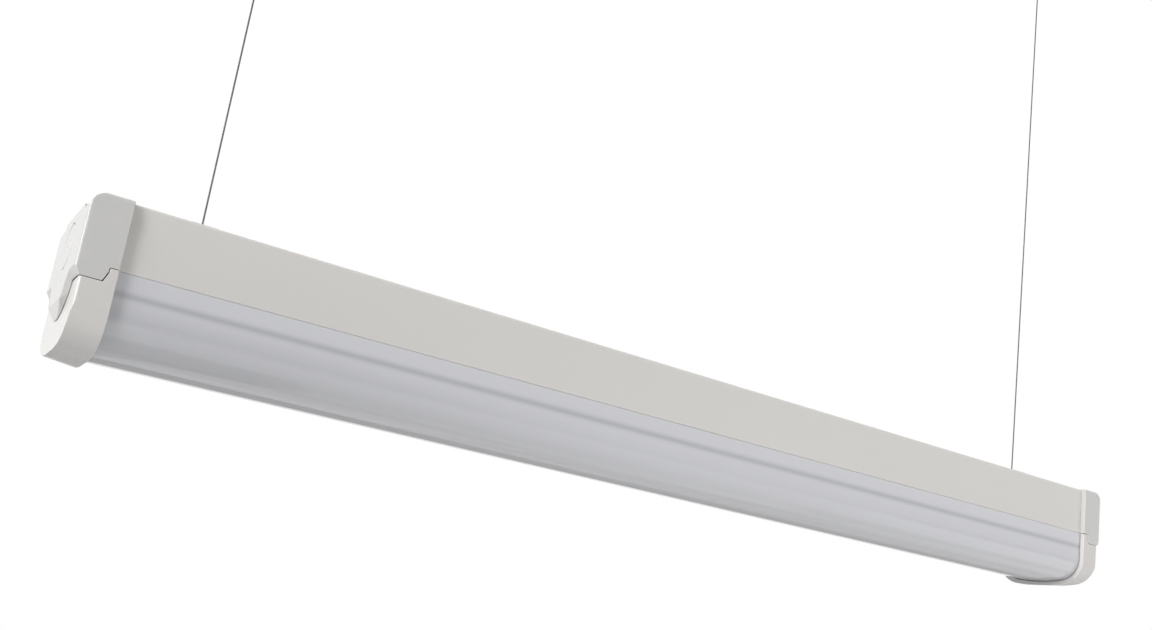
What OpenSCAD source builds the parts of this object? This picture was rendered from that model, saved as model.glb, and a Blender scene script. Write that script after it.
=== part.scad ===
// Hanging shop light: a slim batten with an opal diffuser, hung level on two steel wires.
// The origin is on the ceiling plane, midway between the two ceiling plates.
// +X runs along the light, +Y to its hinged back, +Z up. All lengths are millimetres.

/* [Overall] */
// Ceiling plane down to the top of the end caps
hang_drop = 400; // [200:5:900]
// Distance between the inner rims of the two end caps
rim_span = 581; // [520:1:1200]
// Distance from each inner rim to the hanging wire
wire_inset = 32; // [31:1:60]

/* [End cap section] */
// Width of the end caps, front to back
cap_w = 62; // [58:1:80]
// Height of the end caps above the seam with the diffuser
cap_rise = 27.6; // [25:0.1:40]
// Depth of the end caps below the seam
cap_drop = 33; // [28:0.5:45]
// Radius of the rounded lower corners
corner_r = 16; // [12:0.5:20]
// Radius of the shallow curve of the belly
belly_r = 120; // [90:5:200]

/* [End caps] */
// Length of the upper cap, rim to end face
cap_len = 15.5; // [14.5:0.1:24]
// Radius of the shoulder between the top and the end face
shoulder_r = 6.8; // [4:0.1:9]
// Radius along the outer edges of the caps
cap_edge_r = 1.2; // [0.5:0.1:2]
// Thickness of the end walls
end_wall = 2.2; // [1.6:0.1:2.6]
// Thickness of the rim flange and of the spigot of the upper cap
flange_t = 2.2; // [1.5:0.1:3]
// How far the spigot reaches into the housing
spigot_len = 14; // [10:1:15]
// Gap along the seam between upper and lower cap
seam_gap = 0.35; // [0.2:0.05:0.6]
// Drop of the step in the seam
seam_step = 5.5; // [4:0.5:8]
// Distance from the rim to the top of the seam step
seam_run = 3.5; // [2.5:0.5:5]
// Sideways run of the sloping part of the seam step
seam_slope = 1.6; // [0.5:0.1:3]
// Height of the chamfer under the end face
chamfer_h = 3.7; // [2:0.1:5]
// How far the belly of the lower cap rises towards its end face
rake = 1.65; // [0:0.05:3]

/* [Tongue and knock-out] */
// Half width of the raised band on the shoulder
band_half_w = 18.5; // [15:0.5:22]
// Distance of the top of the band below the top of the cap
band_top_drop = 3; // [2.5:0.5:6]
// Radius of the tongue where it lies on the lower cap
tongue_r = 19.5; // [17:0.5:22]
// Height of the centre of that radius above the seam
tongue_z = 1; // [0:0.5:3]
// Half width of the flat crest of the tongue along its bottom
crest_half_w = 13; // [10:0.5:16]
// Half width of the crest of the tongue at the seam
crest_top_half_w = 20; // [17:0.5:22]
// Depth of the flat crest of the tongue below the seam
crest_drop = 12; // [8:0.5:14]
// Radius of the knock-out for a 20 mm conduit
knock_r = 9.8; // [8:0.1:10]
// Height of the knock-out centre above the seam
knock_z = 11.1; // [10.5:0.1:13]
// Width of the knock-out groove
knock_groove_w = 0.7; // [0.4:0.1:1.2]
// Depth of the knock-out groove and of its centre dimple
knock_groove_d = 0.5; // [0.3:0.1:1]
// Radius of the centre dimple
dimple_r = 0.8; // [0.4:0.1:1.5]

/* [Housing] */
// How far the housing and the diffuser lie behind the end caps
body_inset = 2.75; // [2.4:0.05:3.5]
// How far the top of the housing lies below the top of the caps
top_step = 0.3; // [0.1:0.1:1]
// Sheet thickness of the housing and the gear tray
sheet = 1; // [0.6:0.1:1.4]
// Outer radius of the housing's top edges
housing_edge_r = 1.5; // [1.1:0.1:2]
// Height of the upturned edges of the gear tray
tray_edge_h = 4; // [2:0.5:8]

/* [Diffuser] */
// Wall thickness of the diffuser
diffuser_wall = 1.6; // [1.2:0.1:2]
// How far the diffuser reaches into each lower cap
diffuser_engage = 8; // [5:0.5:9]
// Width of the inner ledge that carries the seal
ledge_w = 2.25; // [1.5:0.25:3]
// Thickness of the inner ledge
ledge_t = 1.4; // [1:0.1:2]

/* [Back hinge] */
// Distance of each hinge from the middle of the light
hinge_x = 180; // [60:5:220]
// Length of a hinge leaf
leaf_len = 26; // [20:1:40]
// Height of a hinge leaf
leaf_h = 10; // [7:0.5:14]
// Thickness of a hinge leaf
leaf_t = 1.5; // [1:0.1:1.5]
// Radius of the hinge knuckles
knuckle_r = 2.2; // [2:0.1:2.4]
// Radius of the hinge pins
hinge_pin_r = 1; // [0.8:0.1:1.2]

/* [Light source and gear] */
// Width of the LED boards
board_w = 30; // [20:1:34]
// Thickness of the LED boards and the driver board
board_t = 1.6; // [1:0.1:2]
// Number of LEDs on each board
led_count = 22; // [8:1:30]
// Length of an LED along the board
led_l = 2.8; // [2:0.1:5]
// Width of an LED across the board
led_w = 3.5; // [2:0.1:5]
// Height of an LED
led_h = 0.75; // [0.5:0.05:1.5]
// Length of the driver case
driver_len = 150; // [100:1:160]
// Width of the driver case
driver_w = 34; // [30:1:40]
// Height of the driver case
driver_h = 20; // [18:0.5:21]
// Length of the terminal block
terminal_len = 30; // [26:1:36]
// Width of the terminal block
terminal_w = 24; // [22:1:28]
// Height of the terminal block
terminal_h = 14; // [13:0.5:18]
// Radius of the hole in the cable grommet
cable_r = 4; // [3:0.5:5]
// Distance of the cable grommet from the middle of the light, to the left
grommet_offset = 75; // [60:1:120]

/* [Wires] */
// Diameter of the hanging wires
wire_d = 0.8; // [0.6:0.1:1]
// Radius of the ball swaged to the lower end of each wire
ball_r = 2; // [1.8:0.1:2.2]
// Swing of the wires in their seats along the light, degrees each way
end_swing = 10; // [5:1:12]

/* [Ceiling fittings] */
// Length of a ceiling plate across the light
plate_l = 46; // [42:1:60]
// Width of a ceiling plate along the light
plate_w = 26; // [22:1:36]
// Thickness of a ceiling plate
plate_t = 2.5; // [2:0.1:3]
// Distance of each screw hole from the middle of its plate
screw_offset = 16; // [14:0.5:17]
// Radius of the screw holes
screw_hole_r = 2.25; // [1.75:0.25:3]
// Depth of the clevis pin below the ceiling
pin_drop = 9.5; // [9:0.5:14]
// Radius of the clevis pin
clevis_pin_r = 2; // [1.5:0.1:2.5]
// Radius of the barrel of the wire gripper
barrel_r = 6.5; // [6:0.1:8]
// Travel of the release plunger
plunger_travel = 2; // [1:0.1:2]

/* [Hidden] */

// Overrun that carries every cut past its face
over = 1;
// Thickness of the two slices that a tapering shape is stretched between
slice_t = 0.1;
// Facets of large curves, of small round parts and of the belly arc
large_fn = 96;
small_fn = 32;
belly_fn = 360;
// Running clearance of a pin or shaft in its hole
run_gap = 0.05;
// Gap between neighbouring moulded or pressed pieces
part_gap = 0.3;
// Gap where a flat face nearly meets its seat
seat_gap = 0.1;

// Places shared by the whole light, in the light's own frame with z = 0 on the seam
seam_z = -(hang_drop + cap_rise);
rim_x = rim_span / 2;
wire_x = rim_x - wire_inset;
cap_half = cap_w / 2;
body_half = cap_half - body_inset;
housing_top = cap_rise - top_step;
lower_len = cap_len - end_wall - 2 * seat_gap;
cap_side_wall = body_inset - part_gap;
seam_z0 = -seat_gap;
seam_z1 = seam_z0 - seam_step;
body_edge = (seam_gap - run_gap) / 2;
end_inner = cap_len - end_wall;

// Screws used inside the light: shank, head, the hole that passes them and the hole they cut into
screw_r = 1.45;
screw_pass_r = 1.6;
screw_hole_tight_r = screw_r + run_gap;
screw_head_r = 2.2;
screw_head_h = 1.5;
screw_bite = 3;

// Diffuser, its ledges and the seal strips on them
ledge_sink = 0.5;
seal_end_gap = 1;
seal_w = ledge_w * 4 / 5;
diffuser_top = -body_edge;
diffuser_half_len = rim_x + diffuser_engage;
ledge_z = diffuser_top - ledge_sink - ledge_t;
ledge_in = body_half - diffuser_wall - ledge_w;
seal_h = body_edge - seat_gap - ledge_z - ledge_t;

// Housing, its lips, the tray that rests on them and the spigot of the upper caps
tray_end_gap = 1;
tray_screw_share = 0.9;
housing_in = body_half - sheet;
spigot_half = housing_in - part_gap;
spigot_top = housing_top - sheet - part_gap;
tray_screw_y = ledge_in - seat_gap - screw_head_r;
lip_in = tray_screw_y - screw_head_r - part_gap;
lip_top = body_edge + sheet;
tray_top = lip_top + sheet;
tray_half = housing_in - part_gap;
tray_half_len = rim_x - spigot_len - tray_end_gap;
tray_screw_x = tray_half_len * tray_screw_share;
tray_screw_places = [for (x = [-tray_screw_x, 0, tray_screw_x]) for (s = [-1, 1]) [x, s * tray_screw_y]];

// LED boards under the tray
board_gap = 2;
board_end_gap = 5.5;
board_screw_shares = [0.1, 0.5, 0.9];
board_len = tray_half_len - board_gap - board_end_gap;
board_bottom = lip_top - board_t;
chip_bottom = board_bottom - led_h;
board_screw_places = [for (s = [-1, 1]) for (share = board_screw_shares)
    [s * (board_gap + share * board_len), -board_w / 3]];

// Cable grommet
grommet_wall = 3;
grommet_lip = 3;
grommet_flange_t = 1.6;
grommet_x = -grommet_offset;
grommet_neck_r = cable_r + grommet_wall;
grommet_flange_r = grommet_neck_r + grommet_lip;

// Back hinge axis, just behind the back faces of the caps
hinge_back_gap = 0.2;
hinge_y = cap_half + hinge_back_gap;
hinge_z = -seat_gap;
leaf_clear = knuckle_r + part_gap;
centre_knuckle = leaf_len / 5;

// Saddle that holds the ball of a wire on top of the housing
saddle_l = 36;
saddle_w = 16;
saddle_t = 1.5;
hat_w = 11;
hat_wall = 1.5;
hat_room = 3.2;
hat_h = hat_room + ball_r;
saddle_screw_x = 12.5;
saddle_head_r = 2.8;
saddle_head_h = 2;
nut_r = 3.1;
nut_h = 2.4;
ball_seat_share = 0.925;
saddle_hole_share = 0.45;
ball_z = housing_top + hat_h - ball_r * ball_seat_share;
wire_r = wire_d / 2;
saddle_hole_r = ball_r * saddle_hole_share;

// Driver: its case, rails, ears and the parts on its board
driver_to_wire = 48.5;
driver_wall = 1.5;
driver_ear = 9;
driver_rail_h = 4;
driver_x = wire_x - driver_to_wire - driver_len;
driver_screw_x = [driver_x - driver_ear / 2, driver_x + driver_len + driver_ear / 2];
driver_board_z = tray_top + driver_rail_h;
coil_l = 18;
coil_h = 9;
capacitor_r = 4;
capacitor_h = 10;

// Leads and terminal block
lead_r = 1.1;
lead_hole_r = 1.5;
lead_pitch = 7;
lead_rise = 9;
lead_y = 3;
lead_slot_w = 2.5;
lead_bend_r = 4;
lead_z = tray_top + lead_rise;
lead_slot_x = driver_x + driver_len + driver_ear + 2 * lead_slot_w;
terminal_offset = 35;
terminal_screw_r = 1.8;
terminal_screw_sink = 0.5;
terminal_funnel = 8;
terminal_x = grommet_x + terminal_offset;
terminal_top = tray_top + terminal_h;
terminal_screw_z = lead_z + lead_hole_r + part_gap;
terminal_screw_x = [terminal_x - terminal_len + terminal_funnel / 2, terminal_x - terminal_funnel / 2];

// Ceiling clevis: the eye of the gripper between the two ears of the plate
eye_w = 8;
eye_wall = 3.5;
ear_wall = 4;
ear_t = 2;
ear_gap = 0.15;
neck_len = 7;
eye_r = clevis_pin_r + eye_wall;
ear_r = clevis_pin_r + ear_wall;
neck_half = eye_r - ear_t / 2;
pin_end = eye_w / 2 + ear_gap + ear_t;
pin_head_h = 1.4;
pin_head_r = clevis_pin_r + pin_head_h;
clip_t = 0.8;
clip_groove_d = 0.4;
clip_r = clevis_pin_r + 2 * clip_t;

// Gripper barrel and nose, as depths below the ceiling on the wire's line
barrel_len = 24.5;
barrel_roof = 9.5;
cavity_r = 3.7;
nose_plug_r = 4.2;
nose_plug_h = 5;
nose_flange_h = 4;
seat_h = 2.5;
seat_top_r = 3.6;
counter_r = 2.65;
counter_sink = 0.5;
barrel_top = -(pin_drop + neck_len);
barrel_end = barrel_top - barrel_len;
cavity_top = barrel_top - barrel_roof;
nose_end = barrel_end - nose_flange_h;
counter_z = barrel_end - counter_sink;

// Release plunger, with the pivot of the wire inside it, and the free end of the wire
stem_r = 2;
stop_h = 1;
button_r = 3.2;
button_h = 1.8;
button_gap = 0.2;
pivot_rise = 1;
wire_gap = 0.15;
tail_exit_drop = 3;
tail_exit_y = 11;
tail_bend_r = 1.6;
tail_hole_r = 1.3;
plunger_end = nose_end - plunger_travel - button_gap - button_h;
pivot_z = plunger_end + button_h + pivot_rise;
channel_r = wire_r + wire_gap;
mouth_r = channel_r + (button_h + pivot_rise) * tan(end_swing) + part_gap;
tail_exit_z = barrel_top - tail_exit_drop;

// Collet and the coil spring between it and the roof of the barrel
collet_h = 4.1;
spring_wire_r = 0.35;
spring_mean_r = 2.6;
spring_turns = 6;
spring_sides = 6;
spring_rings = 8;
collet_z = counter_z + run_gap + stop_h + run_gap;
collet_cone_h = seat_h - part_gap;
spring_z0 = collet_z + collet_h + spring_wire_r + run_gap;
spring_z1 = cavity_top - spring_wire_r - run_gap;

// Places a shape at the light, with z = 0 on the seam
module at_light() translate([0, 0, seam_z]) children();
// Places an end-cap shape at one end; its x runs outward from the rim
module at_end(side) at_light() mirror([side < 0 ? 1 : 0, 0, 0]) translate([rim_x, 0, 0]) children();
// Places a shape on the line of one wire, with z = 0 on the ceiling
module at_wire(side) translate([side * wire_x, 0, 0]) children();
// Carries a (y, z) outline along +X
module along_x(x0, len) translate([x0, 0, 0]) rotate([90, 0, 90]) linear_extrude(len) children();
// Carries an (x, z) outline along +Y
module along_y(y0, len) translate([0, y0 + len, 0]) rotate([90, 0, 0]) linear_extrude(len) children();
// A round bar along X or Y, centred on the given point
module bar_x(x0, len, y, z, r, fn = small_fn) translate([x0, y, z]) rotate([0, 90, 0])
    cylinder(h = len, r = r, $fn = fn);
module bar_y(y0, len, x, z, r, fn = small_fn) translate([x, y0, z]) rotate([-90, 0, 0])
    cylinder(h = len, r = r, $fn = fn);
module bar_z(z0, len, x, y, r, fn = small_fn) translate([x, y, z0])
    cylinder(h = len, r = r, $fn = fn);
// A block given by its two corners
module block(a, b) translate(a) cube(b - a);
// A pan-head screw whose head rests on z = 0 with the shank along -Z
module screw(len, head_r = screw_head_r, head_h = screw_head_h) {
    bar_z(-len, len, 0, 0, screw_r);
    difference() {
        bar_z(0, head_h, 0, 0, head_r);
        translate([-head_r / 2, -head_h / 6, head_h / 2]) cube([head_r, head_h / 3, head_h]);
        translate([-head_h / 6, -head_r / 2, head_h / 2]) cube([head_h / 3, head_r, head_h]);
    }
}
module screw_up(len) mirror([0, 0, 1]) screw(len);

// Section of the diffuser and lower cap: straight sides, rounded corners and a shallow belly.
// The inset moves the whole outline inward.
module arch2d(inset, top) {
    corner_y = cap_half - corner_r;
    belly_z = belly_r - cap_drop;
    corner_z = belly_z - sqrt(pow(belly_r - corner_r, 2) - corner_y * corner_y);
    reach = (belly_r + over) / (belly_r - corner_r);
    half = cap_half - inset;
    translate([-half, corner_z]) square([2 * half, top - corner_z]);
    for (s = [-1, 1]) translate([s * corner_y, corner_z]) circle(corner_r - inset, $fn = large_fn);
    intersection() {
        translate([0, belly_z]) circle(belly_r - inset, $fn = belly_fn);
        polygon([[-corner_y, corner_z], [corner_y, corner_z],
            [corner_y * reach, belly_z + (corner_z - belly_z) * reach],
            [-corner_y * reach, belly_z + (corner_z - belly_z) * reach]]);
    }
}

// Side outline of the upper cap, moved inward by an inset at the top and the end
module upper_side2d(inset, bottom) {
    r = shoulder_r - inset;
    far = cap_len - inset;
    top = cap_rise - inset;
    polygon([[0, bottom], [far, bottom], [far, top - r], [far - r, top], [0, top]]);
    translate([far - r, top - r]) circle(r, $fn = large_fn);
}

// Region under the seam, cut away from the upper cap
module under_seam2d() polygon([[-spigot_len - over, seam_z0], [seam_run, seam_z0],
    [seam_run + seam_gap / 4, seam_z0 - seam_step / 3], [seam_run + seam_slope, seam_z1],
    [end_inner, seam_z1], [cap_len, seam_z1 + chamfer_h], [cap_len + over, seam_z1 + chamfer_h],
    [cap_len + over, -cap_drop], [-spigot_len - over, -cap_drop]]);

// Upper end cap in end coordinates
module upper_cap() {
    color("gainsboro") difference() {
        union() {
            intersection() {
                difference() {
                    along_y(-cap_half, cap_w) upper_side2d(0, seam_z1 - over);
                    along_y(-cap_half - over, cap_w + 2 * over) under_seam2d();
                }
                along_x(-over, cap_len + 2 * over) {
                    translate([-cap_half, -cap_drop]) square([cap_w, cap_drop + cap_rise - cap_edge_r]);
                    translate([-cap_half + cap_edge_r, 0]) square([cap_w - 2 * cap_edge_r, cap_rise]);
                    for (s = [-1, 1]) translate([s * (cap_half - cap_edge_r), cap_rise - cap_edge_r])
                        circle(cap_edge_r, $fn = small_fn);
                }
                translate([0, 0, -cap_drop]) linear_extrude(cap_drop + cap_rise + over) {
                    translate([0, -cap_half]) square([cap_len - cap_edge_r, cap_w]);
                    translate([0, -cap_half + cap_edge_r]) square([cap_len, cap_w - 2 * cap_edge_r]);
                    for (s = [-1, 1]) translate([cap_len - cap_edge_r, s * (cap_half - cap_edge_r)])
                        circle(cap_edge_r, $fn = small_fn);
                }
            }
            tongue();
            block([end_inner - end_wall, -band_half_w, cap_rise - shoulder_r - end_wall],
                [cap_len, band_half_w, cap_rise - band_top_drop]);
            spigot();
        }
        along_y(-cap_half + cap_side_wall, cap_w - 2 * cap_side_wall)
            intersection() {
                upper_side2d(end_wall, -cap_drop);
                translate([flange_t, -cap_drop]) square([cap_len, 2 * cap_drop + cap_rise]);
            }
        block([-spigot_len - over, -spigot_half + flange_t, -cap_drop],
            [flange_t + over, spigot_half - flange_t, spigot_top - flange_t]);
        bar_ring();
        bar_x(cap_len - knock_groove_d, over, 0, knock_z, dimple_r);
        for (s = [-1, 1]) bar_z(spigot_top - flange_t - over, flange_t + 2 * over,
            -spigot_len / 2, s * band_half_w, screw_hole_tight_r);
    }
}
// Groove of the conduit knock-out
module bar_ring() difference() {
    bar_x(cap_len - knock_groove_d, over, 0, knock_z, knock_r, large_fn);
    bar_x(cap_len - knock_groove_d - over, 3 * over, 0, knock_z, knock_r - knock_groove_w, large_fn);
}
// Tongue that laps over the end face of the lower cap. Its walls slope from the crest to a round foot.
module tongue() hull() {
    bar_x(end_inner, slice_t, 0, tongue_z, tongue_r, large_fn);
    along_x(cap_len - slice_t, slice_t) polygon([[-crest_top_half_w, 0], [-crest_half_w, -crest_drop],
        [crest_half_w, -crest_drop], [crest_top_half_w, 0]]);
}
// Spigot that plugs into the housing, with the flange behind the rim
module spigot() difference() {
    union() {
        block([-spigot_len, -spigot_half, lip_top + part_gap], [flange_t, spigot_half, spigot_top]);
        block([0, -cap_half + cap_edge_r, seam_z0], [flange_t, cap_half - cap_edge_r, cap_rise - cap_edge_r]);
    }
    block([-spigot_len - over, -spigot_half + flange_t, -cap_drop],
        [flange_t + over, spigot_half - flange_t, spigot_top - flange_t]);
}

// Lower end cap in end coordinates
module lower_cap() color("gainsboro") difference() {
    intersection() {
        hull() {
            along_x(0, slice_t) arch2d(0, 0);
            along_x(lower_len - slice_t, slice_t) translate([0, rake]) arch2d(0, -rake);
        }
        along_y(-cap_half - over, cap_w + 2 * over) polygon([[0, seam_z0 - seam_gap],
            [seam_run - seam_gap, seam_z0 - seam_gap],
            [seam_run - seam_gap * 3 / 4, seam_z0 - seam_step / 3 - seam_gap],
            [seam_run + seam_slope - seam_gap, seam_z1 - seam_gap], [lower_len, seam_z1 - seam_gap],
            [lower_len, -cap_drop - over], [0, -cap_drop - over]]);
        translate([0, 0, -cap_drop - over]) linear_extrude(cap_drop + over) {
            translate([0, -cap_half]) square([lower_len - cap_edge_r, cap_w]);
            translate([0, -cap_half + cap_edge_r]) square([lower_len, cap_w - 2 * cap_edge_r]);
            for (s = [-1, 1]) translate([lower_len - cap_edge_r, s * (cap_half - cap_edge_r)])
                circle(cap_edge_r, $fn = small_fn);
        }
    }
    along_x(-over, diffuser_engage + part_gap + over) arch2d(cap_side_wall, over);
    along_x(0, lower_len - end_wall) arch2d(cap_side_wall + flange_t, over);
}

// Opal diffuser with its inner ledges. Its ends are notched under the seam step of the upper caps.
module diffuser() color("aliceblue") at_light() difference() {
    along_x(-diffuser_half_len, 2 * diffuser_half_len) arch2d(body_inset, diffuser_top);
    along_x(-diffuser_half_len - over, 2 * (diffuser_half_len + over)) difference() {
        arch2d(body_inset + diffuser_wall, over);
        for (s = [-1, 1]) translate([s > 0 ? ledge_in : -ledge_in - ledge_w - over, ledge_z])
            square([ledge_w + over, ledge_t]);
    }
    for (s = [-1, 1]) mirror([s < 0 ? 1 : 0, 0, 0])
        translate([rim_x + seam_run - seam_gap, -cap_half, seam_z1 - seam_gap])
            cube([diffuser_engage + over, cap_w, cap_drop]);
}
module seal_strips() color("dimgray") at_light() for (s = [-1, 1])
    translate([-rim_x + seal_end_gap, s * (ledge_in + ledge_w / 2) - seal_w / 2, ledge_z + ledge_t])
        cube([rim_span - 2 * seal_end_gap, seal_w, seal_h]);

// Painted steel housing, an inverted channel with inward lips
module housing() color("whitesmoke") at_light() difference() {
    along_x(-rim_x + part_gap / 2, rim_span - part_gap) difference() {
        union() {
            translate([-body_half, body_edge])
                square([2 * body_half, housing_top - body_edge - housing_edge_r]);
            translate([-body_half + housing_edge_r, body_edge])
                square([2 * (body_half - housing_edge_r), housing_top - body_edge]);
            for (s = [-1, 1]) translate([s * (body_half - housing_edge_r), housing_top - housing_edge_r])
                circle(housing_edge_r, $fn = small_fn);
        }
        translate([-housing_in, lip_top]) square([2 * housing_in, housing_top - sheet - lip_top]);
        translate([-lip_in, 0]) square([2 * lip_in, lip_top + over]);
    }
    for (s = [-1, 1]) for (t = [-1, 1])
        bar_z(housing_top - sheet - over, sheet + 2 * over, s * wire_x + t * saddle_screw_x, 0, screw_pass_r);
    for (s = [-1, 1]) for (t = [-1, 1])
        bar_z(housing_top - sheet - over, sheet + 2 * over, s * (rim_x - spigot_len / 2), t * band_half_w,
            screw_pass_r);
    bar_z(housing_top - sheet - over, sheet + 2 * over, grommet_x, 0, grommet_neck_r, large_fn);
    for (p = tray_screw_places) bar_z(body_edge - over, sheet + 2 * over, p[0], p[1], screw_pass_r);
}

module cap_screws() color("silver") at_light() for (s = [-1, 1]) for (t = [-1, 1])
    translate([s * (rim_x - spigot_len / 2), t * band_half_w, housing_top])
        screw(sheet + flange_t + screw_bite);

// Rubber grommet of the cable entry in the top of the housing
module cable_grommet() color("dimgray") at_light() translate([grommet_x, 0, housing_top])
    rotate_extrude($fn = large_fn) polygon([
        [cable_r, grommet_flange_t], [grommet_flange_r, grommet_flange_t], [grommet_flange_r, 0],
        [grommet_neck_r - run_gap, 0], [grommet_neck_r - run_gap, -sheet - run_gap],
        [grommet_flange_r, -sheet - run_gap], [grommet_flange_r, -sheet - grommet_flange_t],
        [cable_r, -sheet - grommet_flange_t]]);

// Gear tray, a shallow steel channel that rests on the lips of the housing
module gear_tray() color("white") at_light() difference() {
    union() {
        block([-tray_half_len, -tray_half, lip_top], [tray_half_len, tray_half, tray_top]);
        for (s = [-1, 1]) translate([-tray_half_len, s * tray_half - (s > 0 ? sheet : 0), lip_top])
            cube([2 * tray_half_len, sheet, tray_edge_h + sheet]);
    }
    for (p = concat(tray_screw_places, board_screw_places))
        bar_z(lip_top - over, sheet + 2 * over, p[0], p[1], screw_hole_tight_r);
    for (x = driver_screw_x) bar_z(lip_top - over, sheet + 2 * over, x, 0, screw_hole_tight_r);
    block([lead_slot_x - lead_slot_w, -lead_y - lead_slot_w, lip_top - over],
        [lead_slot_x + lead_slot_w, lead_y + lead_slot_w, tray_top + over]);
}
module tray_screws() color("silver") at_light() for (p = tray_screw_places)
    translate([p[0], p[1], body_edge]) screw_up(2 * sheet + screw_bite);

module led_board(side) color("ivory") at_light() difference() {
    block([side > 0 ? board_gap : -board_gap - board_len, -board_w / 2, board_bottom],
        [side > 0 ? board_gap + board_len : -board_gap, board_w / 2, lip_top]);
    for (p = board_screw_places) bar_z(board_bottom - over, board_t + 2 * over, p[0], p[1], screw_pass_r);
}
module led_chips() color("khaki") at_light() for (s = [-1, 1]) for (i = [0 : led_count - 1])
    translate([s * (board_gap + board_len * (i + 0.5) / led_count) - led_l / 2, -led_w / 2, chip_bottom])
        cube([led_l, led_w, led_h]);
module board_screws() color("silver") at_light() for (p = board_screw_places)
    translate([p[0], p[1], board_bottom]) screw_up(board_t + sheet + screw_bite);

// Driver: a case that covers a circuit board on two rails
module driver_case() color("white") at_light() difference() {
    union() {
        block([driver_x, -driver_w / 2, tray_top],
            [driver_x + driver_len, driver_w / 2, tray_top + driver_h]);
        block([driver_x - driver_ear, -driver_ear / 2, tray_top],
            [driver_x + driver_len + driver_ear, driver_ear / 2, tray_top + driver_wall]);
    }
    block([driver_x + driver_wall, -driver_w / 2 + driver_wall, driver_board_z],
        [driver_x + driver_len - driver_wall, driver_w / 2 - driver_wall, tray_top + driver_h - driver_wall]);
    block([driver_x + driver_wall, -driver_w / 2 + 2 * driver_wall, tray_top - over],
        [driver_x + driver_len - driver_wall, driver_w / 2 - 2 * driver_wall, driver_board_z + over]);
    for (x = driver_screw_x) bar_z(tray_top - over, driver_wall + 2 * over, x, 0, screw_pass_r);
    for (y = [-lead_pitch, 0, lead_pitch])
        bar_x(driver_x - over, driver_wall + 2 * over, y, lead_z, lead_hole_r);
    for (y = [-lead_y, lead_y])
        bar_x(driver_x + driver_len - driver_wall - over, driver_wall + 2 * over, y, lead_z, lead_hole_r);
}
module driver_board() color("forestgreen") at_light()
    block([driver_x + driver_wall + part_gap, -driver_w / 2 + driver_wall + part_gap, driver_board_z],
        [driver_x + driver_len - driver_wall - part_gap, driver_w / 2 - driver_wall - part_gap,
            driver_board_z + board_t]);
module driver_parts() at_light() translate([driver_x, 0, driver_board_z + board_t]) {
    color("goldenrod") translate([driver_len / 2 - coil_l / 2, -coil_l / 2, 0])
        cube([coil_l, coil_l, coil_h]);
    color("black") for (x = [driver_len / 5, driver_len / 5 + 3 * capacitor_r])
        bar_z(0, capacitor_h, x, capacitor_r, capacitor_r);
    color("dimgray") translate([driver_len * 3 / 4, -capacitor_r, 0])
        cube([capacitor_h, 2 * capacitor_r, coil_h]);
}
module driver_screws() color("silver") at_light() for (x = driver_screw_x)
    translate([x, 0, tray_top + driver_wall]) screw(driver_wall + sheet - seat_gap);

// Terminal block for the mains, with its clamping screws
module terminal_block() color("white") at_light() difference() {
    block([terminal_x - terminal_len, -terminal_w / 2, tray_top], [terminal_x, terminal_w / 2, terminal_top]);
    for (y = [-lead_pitch, 0, lead_pitch]) {
        bar_x(terminal_x - terminal_len - over, terminal_funnel + over, y, lead_z, lead_hole_r);
        bar_x(terminal_x - terminal_funnel, terminal_funnel + over, y, lead_z, lead_hole_r);
        for (x = terminal_screw_x) bar_z(terminal_screw_z, terminal_h, x, y, terminal_screw_r + run_gap);
    }
}
module terminal_screws() color("goldenrod") at_light() for (y = [-lead_pitch, 0, lead_pitch])
    for (x = terminal_screw_x) difference() {
        bar_z(terminal_screw_z, terminal_top - terminal_screw_z - terminal_screw_sink, x, y,
            terminal_screw_r);
        translate([x - terminal_screw_r - over, y - part_gap, terminal_top - 2 * terminal_screw_sink])
            cube([2 * (terminal_screw_r + over), 2 * part_gap, over]);
    }
// Leads from the terminal block to the driver, and from the driver down to the LED boards
module supply_leads() color("sienna") at_light() for (y = [-lead_pitch, 0, lead_pitch]) {
    start = terminal_x - terminal_funnel + part_gap;
    bar_x(start, driver_x + 2 * driver_wall - start, y, lead_z, lead_r);
}
module led_leads() color("red") at_light() for (y = [-lead_y, lead_y]) {
    start = driver_x + driver_len - driver_wall;
    bar_x(start, lead_slot_x - lead_bend_r - start, y, lead_z, lead_r);
    translate([lead_slot_x - lead_bend_r, y, lead_z - lead_bend_r]) rotate([90, 0, 0])
        rotate_extrude(angle = 90, $fn = large_fn) translate([lead_bend_r, 0]) circle(lead_r, $fn = small_fn);
    bar_z(lip_top, lead_z - lead_bend_r - lip_top, lead_slot_x, y, lead_r);
}

// Hinge leaves on the back: the housing's pair carries two knuckles each, the diffuser's one
module knuckle(x0, len) bar_x(x0, len, hinge_y, hinge_z, knuckle_r, small_fn);
module pin_bore() bar_x(-leaf_len, 2 * leaf_len, hinge_y, hinge_z, hinge_pin_r + run_gap, small_fn);
module hinge_leaves_housing() color("lightgray") at_light() for (s = [-1, 1]) translate([s * hinge_x, 0, 0])
    difference() {
        union() {
            block([-leaf_len / 2, body_half, hinge_z + leaf_clear],
                [leaf_len / 2, body_half + leaf_t, hinge_z + leaf_clear + leaf_h]);
            for (t = [-1, 1]) translate([t * (leaf_len + centre_knuckle + part_gap) / 4, 0, 0]) {
                w = (leaf_len - centre_knuckle - part_gap) / 2;
                knuckle(-w / 2, w);
                block([-w / 2, body_half, hinge_z + knuckle_r / 2],
                    [w / 2, hinge_y, hinge_z + leaf_clear + leaf_t]);
            }
        }
        pin_bore();
    }
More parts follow.
